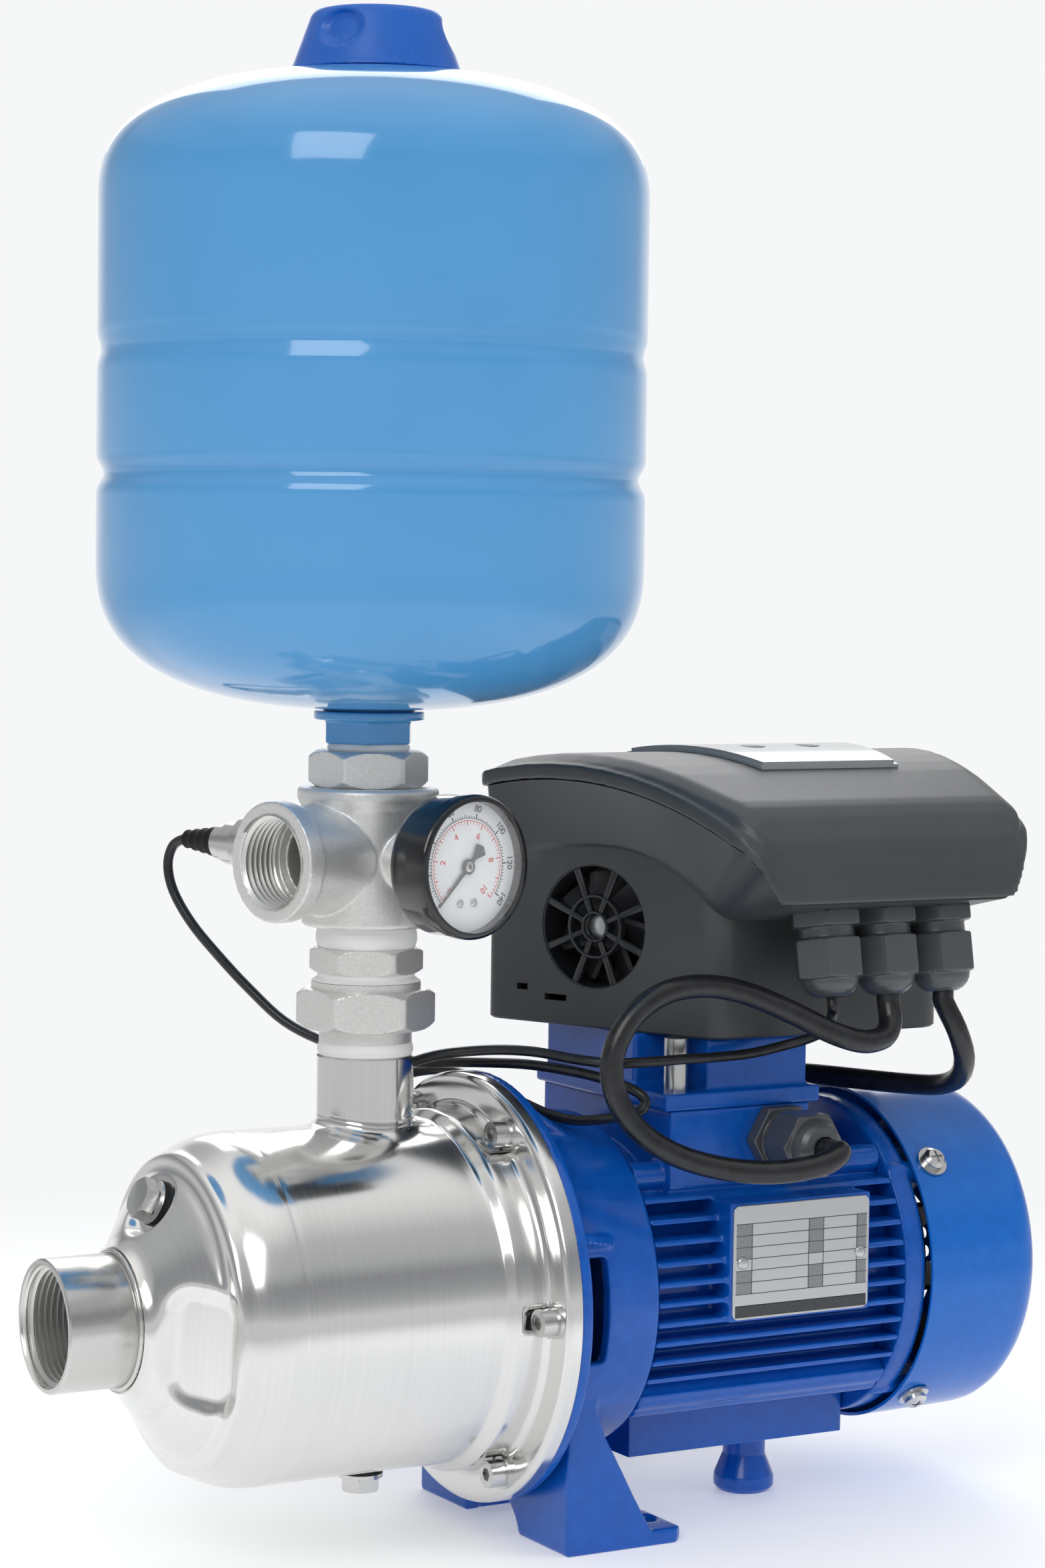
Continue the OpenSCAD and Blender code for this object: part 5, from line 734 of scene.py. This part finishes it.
# Etched and inked lines are dull, the shaded columns keep some of the metal's shine
etched = speckled("black_etched_plate_print", "3b3d40", 0.45, 1200, tones=((0.3, "323437"), (0.7, "47494c")))
shaded = speckled("grey_etched_plate_print", "8d8f92", 0.4, 1200, tones=((0.3, "86888b"), (0.7, "96989b")),
                  Metallic=0.6)


def lay_block(verts, faces, low, high):
    """Adds a closed block between two outlines that have the same number of corners"""
    base, count = len(verts), len(low)
    verts += [*low, *high]
    faces += [[base + k for k in range(count)][::-1], [base + count + k for k in range(count)]]
    faces += [[base + k, base + (k + 1) % count, base + count + (k + 1) % count, base + count + k]
              for k in range(count)]


def plate_print(name, blocks, paint):
    """Thin raised blocks on the plate, each with its left, right, low and high edge from the plate's middle"""
    verts, faces = [], []
    for x0, x1, z0, z1 in blocks:
        lay_block(verts, faces, *[[Vector((plate_mid[0] + x, y, plate_mid[1] + z)) * mm
                                   for x, z in ((x0, z0), (x1, z0), (x1, z1), (x0, z1))]
                                  for y in (plate_front_y + 0.05, plate_front_y - 0.04)])
    return settle(painted(outward(meshed(name, verts, faces)), paint), "nameplate")


row_h = 4.3
table_top = 14.2
ruled = [(-29, 29, table_top - row_h * k - 0.15, table_top - row_h * k + 0.15) for k in range(8)]
ruled += [(x - 0.15, x + 0.15, table_top - row_h * 6, table_top) for x in (-22, 3, 9.5, 24.5)]
plate_print("plate_table", [*ruled, (-29, 29, -20.2, table_top - row_h * 7)], etched)
plate_print("plate_shading", [(x0, x1, table_top - row_h * (k + 1) + 0.2, table_top - row_h * k - 0.2)
                              for k in (0, 1, 2, 4, 5) for x0, x1 in ((-28.8, -22.2), (3.2, 9.3), (24.7, 28.8))],
            shaded)
for side in (-1, 1):
    at = Matrix.Translation(Vector((plate_mid[0] + side * 26, plate_front_y, plate_mid[1])) * mm)
    at = at @ Matrix.Rotation(math.pi / 2, 4, "X")
    dome_line = [(-0.2, 0), (-0.2, 2.4), (0.3, 2.3), (0.8, 1.8), (1.1, 1.1), (1.2, 0)]
    fitted(turned("plate_rivet", dome_line, at, 32, False), plate_metal, 50, "nameplate")

# Cable glands: black nylon, each with a fixed hexagon, a clamping nut and a round mouth.
# One is screwed into the terminal box and three into the controller's nose.
# Moulded nylon is satin, with a frosted skin
nylon = speckled("moulded_black_nylon", "484b4d", 0.32, 800, 3, shine=(0.22, 0.4), bump=(0.00003, 1),
                 Specular_IOR_Level=0.7)
refined("motor_cable_gland", "box_gland", nylon, 0.35)
refined("cable_glands", "controller_glands", nylon, 0.4)

# Controller: two ABS mouldings with a spark texture, screwed together along an arched seam, on the adapter block.
# Its sides are flat round the fan's grille and lean out above an arched ledge, to the nose that holds the glands.
# Spark texture has pits of a quarter millimetre: drawn at 0.6 mm so that they show
textured = speckled("spark_textured_abs", "383b3d", 0.42, 1700, shine=(0.36, 0.5),
                    tones=((0.35, "35383a"), (0.65, "3c3f41")), bump=(0.00007, 0.7), apart={"tones": (24, 2)},
                    Specular_IOR_Level=0.75)
box_x = 71
box_front = 49
box_back = 49.5
lid_front = 94
lid_back = 51
seam_front_z = 53
nose_edge = 92.5


def plan_outline(front_hw, back_hw, front_y, back_y, front_r, back_r, inset):
    """Half of a plan with round corners, always in 93 points from the middle of its back to that of its front"""
    lean = math.atan((back_hw - front_hw) / (front_y + back_y))
    front_x = front_hw + (inset + front_r) * (math.tan(lean) - 1 / math.cos(lean))
    back_x = back_hw - (inset + back_r) * (math.tan(lean) + 1 / math.cos(lean))
    degrees = math.degrees(lean)
    rear = arc(back_x, back_y - inset - back_r, back_r, 90, -degrees, 8)
    nose = arc(front_x, -front_y + inset + front_r, front_r, -degrees, -90, 16)
    start, end = (0, back_y - inset), (0, -front_y + inset)
    return [start, *between(start, rear[0], 8), *rear, *between(rear[-1], nose[0], 40), *nose,
            *between(nose[-1], end, 12), end]


ledge_top = 68
ledge_y = -3
ledge_r = 56


def ledge_height(y):
    """The arched line over the grille where the side begins to lean out, down to the nose's root in front"""
    if y < ledge_y:
        return ledge_top - ledge_r + math.sqrt(ledge_r ** 2 - (y - ledge_y) ** 2)
    return ledge_top - (y - ledge_y) ** 2 / 260


seam_top = 93.3
seam_r = 195
seam_y = 5
nose_bend = 3


def seam_height(y):
    """The housing's upper edge: a long arch that ends in the nose's blunt front"""
    if y > -84:
        return seam_top - seam_r + math.sqrt(seam_r ** 2 - (y - seam_y) ** 2)
    if y > nose_bend - nose_edge:
        return 65 + (71.7 - 65) * (y + nose_edge - nose_bend) / (nose_edge - 87)
    return seam_front_z + (65 - seam_front_z) * max(0, y + nose_edge) / nose_bend


foot_half = plan_outline(50, 94, box_front, box_back, 12, 5, 0)
head_half = plan_outline(62, 97, lid_front, lid_back, 18.5, 5, 1.5)
foot_line = foot_half + [(-x, y) for x, y in foot_half[-2:0:-1]]
head_line = head_half + [(-x, y) for x, y in head_half[-2:0:-1]]
wall_rows = 10
flare_rows = 16
sill_h = 0.8
ledge_share = 0.12
seam_gap = 0.4
rows = [[] for _ in range(wall_rows + flare_rows + 2)]
for (x, y), (u, v) in zip(foot_line, head_line):
    low = ledge_height(max(-box_front, y))
    rows[0].append((x * 0.99, y * 0.985, 0))
    for k in range(wall_rows + 1):
        rows[1 + k].append((x, y, sill_h + (low - sill_h) * k / wall_rows))
    bow = soft_step((y + box_front) / 20) * 0.55
    high = seam_height(v) - seam_gap
    for k in range(1, flare_rows + 1):
        t = k / flare_rows
        out = ledge_share + (1 - ledge_share) * (t * (1 - bow) + t * t * bow)
        rows[1 + wall_rows + k].append((x + (u - x) * out, y + (v - y) * out, low + (high - low) * t))
around = len(foot_line)
faces = [[r * around + k, r * around + (k + 1) % around, (r + 1) * around + (k + 1) % around, (r + 1) * around + k]
         for r in range(len(rows) - 1) for k in range(around)]
skin = [Vector((box_x + x, y, ctrl_z + z)) * mm for row in rows for x, y, z in row]
housing = outward(meshed("moulded_housing", skin, [*faces, list(range(around))]))
if housing.data.polygons[-1].normal.z > 0:
    flipped(housing)
wall_t = 3
applied(housing, "SOLIDIFY", thickness=wall_t * mm, offset=-1)
side_lean = math.atan(44 / 98.5)
grille_middle = Vector((box_x - 50 - 50.5 * math.tan(side_lean), 1.5, ctrl_z + 38)) * mm
grille_stand = (Matrix.Translation(grille_middle) @ Matrix.Rotation(side_lean, 4, "Z")
                @ Matrix.Rotation(-math.pi / 2, 4, "Y"))
grille_r = 23.5
cut_reach = 9
vent_h = 2.4


def prism(name, outline, low, high, stand):
    """A closed block with the given outline in the xy plane of its stand"""
    verts, faces = [], []
    lay_block(verts, faces, *[[stand @ (Vector((x, y, z)) * mm) for x, y in outline] for z in (low, high)])
    return outward(meshed(name, verts, faces))


cutters = [prism("hole", arc(0, 0, grille_r, 0, 355, 71), -cut_reach, cut_reach, grille_stand)]
for up_by, along, long in ((-29, 12, 10), (-26, 30, 5)):
    slot = [(up_by, along), (up_by + vent_h, along), (up_by + vent_h, along + long), (up_by, along + long)]
    cutters.append(prism("hole", slot, -cut_reach, cut_reach, grille_stand))
for cutter in cutters:
    applied(housing, "BOOLEAN", operation="DIFFERENCE", object=cutter, solver="EXACT")
    bpy.data.objects.remove(cutter)
fitted(housing, textured, 32, "controller_housing")
# The grille is moulded in one with the wall: three rings on eight spokes, a little behind the face.
# Its mould was polished, so it shines where the wall is matt
glossy = speckled("polished_black_abs", "232527", 0.2, 600, shine=(0.14, 0.3), Specular_IOR_Level=0.6)
grille_back = -3
for name, radius, thick in (("grille_hub", 5.4, 1.5), ("grille_ring", 11.5, 1.6), ("grille_rim", 23.2, 1.2)):
    half, crest = thick / 2, thick / 4
    ring = turned(name, [(grille_back, radius - half), (grille_back, radius + half), (-0.8, radius + half),
                         (-0.3, radius + crest), (-0.3, radius - crest), (-0.8, radius - half)], grille_stand, 72)
    fitted(ring, glossy, 40, "controller_housing")
root_r, tip_r, root_w, tip_w = 5.6, 23.3, 2.2, 3.2
for i in range(8):
    turn = math.radians((i + 1.5) * 45)
    way = Vector((math.cos(turn), math.sin(turn)))
    aside = Vector((-math.sin(turn), math.cos(turn)))
    blade = prism("grille_spoke", [way * root_r - aside * root_w / 2, way * tip_r - aside * tip_w / 2,
                                   way * tip_r + aside * tip_w / 2, way * root_r + aside * root_w / 2],
                  grille_back, -0.6, grille_stand)
    applied(blade, "BEVEL", width=0.7 * mm, segments=3, limit_method="ANGLE")
    fitted(blade, glossy, 40, "controller_housing")
# Foil catches the light as one bright spot behind the grille's hub
fan_label = speckled("brushed_foil_label", "c8cacc", 0.3, 900, shine=(0.2, 0.4), Metallic=0.9)
hub_disc = turned("fan_hub_label", [(-4.2, 0), (-4.2, 4.3), (-3.6, 4.3), (-3.5, 4.1), (-3.5, 0)], grille_stand, 40,
                  False)
fitted(hub_disc, fan_label, 40, "controller_housing")
refined("controller_lid", "moulded_lid", textured, 0.7, soften=24)
# Printed film is smooth under a clear coat, drawn aluminium has fine lines along it, and lacquer makes the board shine
panel_film = speckled("printed_panel_film", "8a8e90", 0.3, 900, shine=(0.26, 0.4), Coat_Weight=0.5,
                      Coat_Roughness=0.1)
refined("display_panel", "touch_panel", panel_film)
refined("left_key", "left_button", nylon)
refined("right_key", "right_button", nylon)
bare = speckled("extruded_aluminium", "c4c7c9", 0.35, 1, stretch=(30, 1500, 1500), shine=(0.25, 0.5), Metallic=1)
dress("heat_sink", bare)
board, tree, shader, place = finish("lacquered_circuit_board", "23603a", 0.3)
tracks = add(tree, "ShaderNodeTexVoronoi", {"Vector": place, "Scale": 300.0})
join(tree, ramp(add(tree, "ShaderNodeValToRGB", {0: tracks.outputs["Distance"]}), (0.2, "1c4f30"), (0.6, "2c7447")),
     shader.inputs["Base Color"])
dress("circuit_board", board)
dress("cooling_fan_frame", fan_plastic)
dress("cooling_fan_rotor", fan_plastic)

# Riser: a union, a nipple and a bushing screwed into a five-way body, all cast in stainless steel and shot blasted.
# Their hexagons are cast too, with turned chamfers at both ends.
# Blasting leaves a sparkle of 0.3 mm pits: drawn at 0.7 mm so that they show
blasted = speckled("shot_blasted_cast_steel", "e6e4e0", 0.42, 1300, 3, 0.7, tones=((0.3, "dbd9d5"), (0.7, "f0efec")),
                   bump=(0.0001, 0.6), Metallic=0.7)


def nut_line(low, high, across, chamfer=2.2):
    """The turned outline of a hexagon from its lower to its upper face"""
    corner = across / math.sqrt(3)
    start = across / 2 - 0.4
    cone = [(k / 5 * chamfer * (k / 5) ** 0.3, start + (corner - 0.3 - start) * (k / 5)) for k in range(6)]
    return [*[(low + z, r) for z, r in cone],
            *between((low + chamfer, corner - 0.3), (high - chamfer, corner - 0.3), 4),
            *[(high - z, r) for z, r in cone[::-1]]]


def hexed(name, line, low, high, across, facing):
    """A turned blank whose part between two heights gets six flats. One of them faces the given direction"""
    blank = turned(name, line, riser_stand, 180)
    for vertex in blank.data.vertices:
        x, y, z = vertex.co.x / mm - riser_x, vertex.co.y / mm, vertex.co.z / mm
        off = (math.degrees(math.atan2(y, x)) - facing + 30) % 60 - 30
        flat = across / 2 / math.cos(math.radians(off))
        shrink = min(1, flat / math.hypot(x, y))
        if low - 0.01 < z < high + 0.01 and shrink < 1:
            vertex.co.x = (riser_x + x * shrink) * mm
            vertex.co.y = y * shrink * mm
    return smoothed(painted(blank, blasted), 28)


bore_r = 12.5
tail_z = 183.1
union_z = 187.9
union_top_z = 202.4
nipple_z = 207.9
nipple_top_z = 217.3
body_top_z = 274.9
bushing_top_z = 287.9
pipe_r = 16.4
union = hexed("union_nut", [
    (166.4, bore_r), (166.4, 15.4), (tail_z, 15.4), (tail_z, 16.8), (union_z, 16.8),
    *nut_line(union_z, union_top_z, 44), (union_top_z, 19.8), (205, 19.8), (205, 16.7), (194, 16.7), (194, bore_r)],
    union_z, union_top_z, 44, 246)
settle(union, "pipe_union")
nipple = hexed("hexagon_nipple", [
    (196, bore_r), (196, pipe_r), (nipple_z, pipe_r), *nut_line(nipple_z, nipple_top_z, 36, 1.5),
    (nipple_top_z, pipe_r), (236.8, pipe_r), (236.8, bore_r)], nipple_z, nipple_top_z, 36, 242)
settle(nipple, "hex_nipple")
bushing = hexed("hexagon_bushing", [
    (263, 13.1), (263, pipe_r), (body_top_z, pipe_r), *nut_line(body_top_z, bushing_top_z, 38),
    (bushing_top_z, 13.1)], body_top_z, bushing_top_z, 38, 248)
settle(bushing, "tank_bushing")
refined("five_way_body", "cast_five_way_body", blasted, 0.6)


def branch(turn):
    """The stand of a branch of the five-way body: its z axis points out along the branch"""
    way = branch_turn + math.radians(turn)
    return Matrix.Translation(Vector((riser_x, 0, branch_z)) * mm) @ Matrix((
        (math.cos(way), 0, math.sin(way)), (math.sin(way), 0, -math.cos(way)), (0, 1, 0))).to_4x4()


outlet_thread = inner_thread("outlet_thread", branch(-90), 16.65, 1.4, pipe_pitch, 27.6, 7.4, cut_thread)
settle(outlet_thread, "five_way_body")

# Thread tape: soft white PTFE tape, wound over each pipe thread by hand.
# Screwing the joint home squeezes it out as a ragged white ring, matt and wrinkled along its winding.
tape = speckled("ptfe_tape", "f3f3f1", 0.55, 1, 3, stretch=(60, 60, 1500), bump=(0.0004, 0.8),
                Specular_IOR_Level=0.3)
refined("thread_tape", "wound_tape", tape)

# Gauge: a black enamelled steel case that is screwed into the five-way body, with a printed dial behind a lens.
# Its pointer turns on an arbor in the middle, and two small screws hold the dial.
# The case's enamel is glossy with a little orange peel, the dial's is flat white, and the lens is almost unseen
black_enamel = speckled("black_gloss_enamel", "101113", 0.14, 420, bump=(0.00005, 0.5), Coat_Weight=0.6,
                        Coat_Roughness=0.04)
dial_white = speckled("white_dial_enamel", "f6f8fa", 0.4, 200, tones=((0.3, "f3f6f9"), (0.7, "fafbfc")))
lens = speckled("clear_lens", "ffffff", 0.03, 40, bump=(0.00002, 1), Alpha=0.12)
refined("gauge_case", "enamelled_case", black_enamel)
refined("gauge_dial", "dial_plate", dial_white)
refined("gauge_glass", "gauge_lens", lens)
refined("gauge_pointer", "pointer_hand", black_enamel)
# The print stands 0.04 mm over the dial, as a thick silk-screened ink does
ink = speckled("black_printing_ink", "26282b", 0.5, 2500, tones=((0.3, "1f2124"), (0.7, "34363a")))
red_ink = speckled("red_printing_ink", "d9443c", 0.5, 2500, tones=((0.3, "d33d35"), (0.7, "e05a50")))
dial_top = 52.3
ink_t = 0.04
line_w = 0.28
scale_start = 225
scale_sweep = 270


def scale_print(name, paint, ticks, numbers, size, number_r, line_r, full):
    """A scale's ticks, its line and its numbers, as one mesh of raised ink"""
    gauge_stand = branch(0)
    verts, faces = [], []

    def lay(corners):
        lay_block(verts, faces, *[[gauge_stand @ (Vector((x, y, z)) * mm) for x, y in corners]
                                  for z in (dial_top - 0.02, dial_top + ink_t)])

    for value, low, high, width in ticks:
        a = math.radians(scale_start - scale_sweep * value / full)
        way, side = Vector((math.cos(a), math.sin(a))), Vector((-math.sin(a), math.cos(a))) * width / 2
        lay([way * low - side, way * low + side, way * high + side, way * high - side][::-1])
    last = ticks[-1][0] / full
    steps = 80
    for k in range(steps):
        a, b = (math.radians(scale_start - scale_sweep * last * j / steps) for j in (k, k + 1))
        lay([(r * math.cos(t), r * math.sin(t)) for r, t in
             ((line_r, a), (line_r + line_w, a), (line_r + line_w, b), (line_r, b))])
    piece = meshed(name, verts, faces)
    words = [piece]
    for value in numbers:
        bpy.ops.object.select_all(action="DESELECT")
        bpy.ops.object.text_add()
        word = bpy.context.object
        word.data.body = str(value)
        word.data.size = size * mm
        word.data.align_x = "CENTER"
        word.data.align_y = "CENTER"
        word.data.extrude = ink_t * mm / 2
        word.data.offset = 0.09 * mm
        bpy.ops.object.convert(target="MESH")
        word = bpy.context.object
        a = math.radians(scale_start - scale_sweep * value / full)
        spot = Vector((number_r * math.cos(a), number_r * math.sin(a), dial_top + ink_t / 2)) * mm
        word.data.transform(gauge_stand @ Matrix.Translation(spot) @ Matrix.Rotation(a - math.pi / 2, 4, "Z"))
        words.append(word)
    for word in words:
        word.select_set(True)
    bpy.context.view_layer.objects.active = piece
    bpy.ops.object.join()
    bpy.ops.object.mode_set(mode="EDIT")
    bpy.ops.mesh.select_all(action="SELECT")
    bpy.ops.mesh.remove_doubles(threshold=0.000001)
    bpy.ops.mesh.normals_make_consistent(inside=False)
    bpy.ops.object.mode_set(mode="OBJECT")
    return settle(painted(piece, paint), "gauge_dial")


outer_r = 16.9
outer = [(v, outer_r, 19 if v % 20 == 0 else (18.3 if v % 10 == 0 else 17.9), 0.6 if v % 20 == 0 else 0.3)
         for v in range(0, 141, 2)]
scale_print("outer_scale", ink, outer, range(0, 141, 20), 3.4, 20.6, outer_r, 145)
inner_r = 16
inner = [(v / 5, inner_r - (1.9 if v % 10 == 0 else 1.5 if v % 5 == 0 else 1.1), inner_r,
          0.45 if v % 5 == 0 else 0.22) for v in range(0, 51)]
scale_print("inner_scale", red_ink, inner, range(0, 11, 2), 3.3, 11.6, inner_r, 10)
hub_stand = branch(0) @ Matrix.Translation((0, 0, 53.4 * mm))
hub = turned("pointer_hub", [(0, 0), (0, 1.9), (0.5, 1.9), (0.8, 1.6), (0.9, 1), (0.6, 0.7), (0.6, 0)], hub_stand,
             32, False)
fitted(hub, bright, 40, "gauge_pointer")
for side in (-1, 1):
    at = branch(0) @ Matrix.Translation((side * 3.3 * mm, -12.8 * mm, (dial_top - 0.1) * mm))
    stud = turned("dial_screw", [(0, 0), (0, 1.5), (0.5, 1.5), (0.8, 1.2), (0.9, 0.8), (0.9, 0)], at, 28, False)
    fitted(stud, bright, 40, "gauge_dial")

# Transducer: a turned steel body screwed in behind the riser, with a knurled ring to hold it by.
# A ribbed rubber boot at its end keeps the cable from kinking.
sensor_body = refined("pressure_transducer", "transducer_body", [turned_steel, rubber])
boot_start = 82
sensor_stand = branch(180)
for face in sensor_body.data.polygons:
    out = (face.center - sensor_stand.translation).dot(sensor_stand.col[2].xyz)
    face.material_index = int(out > boot_start * mm)

# Tank: two drawn steel halves joined at a rolled bead, with a second bead below it, sprayed light blue.
# Its rubber bladder hangs inside from the connection, and the air valve sits on top under the cap.
# The enamel is thick and glossy: broad orange peel, and clouds of a slightly lighter blue
tank_enamel = speckled("light_blue_tank_enamel", "539ed8", 0.12, 9, 3, tones=((0.35, "4f9ad4"), (0.65, "57a2dc")),
                       bump=(0.0001, 0.3), apart={"bump": (130, 2)}, Coat_Weight=0.4, Coat_Roughness=0.03)
tank_r = 98
tank_z = 302.7
tank_h = 226
tank_low_h = 53
tank_top_h = 46
tank_bends = 0.78


def dome(r, h, start, end, steps=40):
    """Radius and rise along a tank end, which is fuller than an ellipse"""
    turns = [math.radians(start + (end - start) * k / steps) for k in range(steps + 1)]
    return [(max(0, math.cos(a)) ** tank_bends * r, max(0, math.sin(a)) ** tank_bends * h) for a in turns]


def rolled_bead(height, depth, half=8, steps=12):
    """A groove rolled into the wall, with soft lips"""
    line = []
    for k in range(steps + 1):
        off = -half + 2 * half * k / steps
        sink = depth * (0.5 + 0.5 * math.cos(math.pi * off / half)) ** 1.6
        line.append((tank_z + tank_h * height + off, tank_r - sink))
    return line


tank_line = [(tank_z + tank_low_h - h, r) for r, h in dome(tank_r, tank_low_h, 90, 0)]
tank_line += [*rolled_bead(0.367, 2.6), *rolled_bead(0.56, 1.4)]
tank_line += [(tank_z + tank_h - tank_top_h + h, r) for r, h in dome(tank_r, tank_top_h, 0, 90)]
tank = turned("tank_shell_halves", tank_line, riser_stand, 192, closed=False)
fitted(tank, tank_enamel, 60, "tank_shell")
refined("tank_connection", "tank_neck", tank_enamel, 0.6)
dress("tank_bladder", rubber)
dress("tank_air_valve", plug_brass)

# Cap: a moulded polypropylene hood in the castings' blue that screws down over the air valve.
# Three thumb dents in its side give a grip. The plastic is satin and lets a little light in.
cap_plastic = speckled("blue_polypropylene", "1664c4", 0.34, 700, tones=((0.3, "1461bf"), (0.7, "1867c9")),
                       bump=(0.00004, 1), Subsurface_Weight=0.05, Subsurface_Scale=0.002)
cap = refined("tank_cap", "valve_cap", cap_plastic, 0.6, soften=6)
cap_low, cap_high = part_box("tank_cap")
dent_z = cap_low[2] + (cap_high[2] - cap_low[2]) * 0.62
dent_w = 9.5
dent_h = 7
dent_depth = 2.6
for vertex in cap.data.vertices:
    way = Vector((vertex.co.x - riser_x * mm, vertex.co.y, 0))
    for clock in (212, 332, 452):
        a = math.radians(clock)
        aside = way.dot(Vector((-math.sin(a), math.cos(a), 0))) / (dent_w * mm)
        above = (vertex.co.z - dent_z) / (dent_h * mm)
        inside = 1 - aside * aside - above * above
        if way.dot(Vector((math.cos(a), math.sin(a), 0))) > 10 * mm and inside > 0:
            vertex.co -= way.normalized() * dent_depth * mm * soft_step(1.6 * inside)
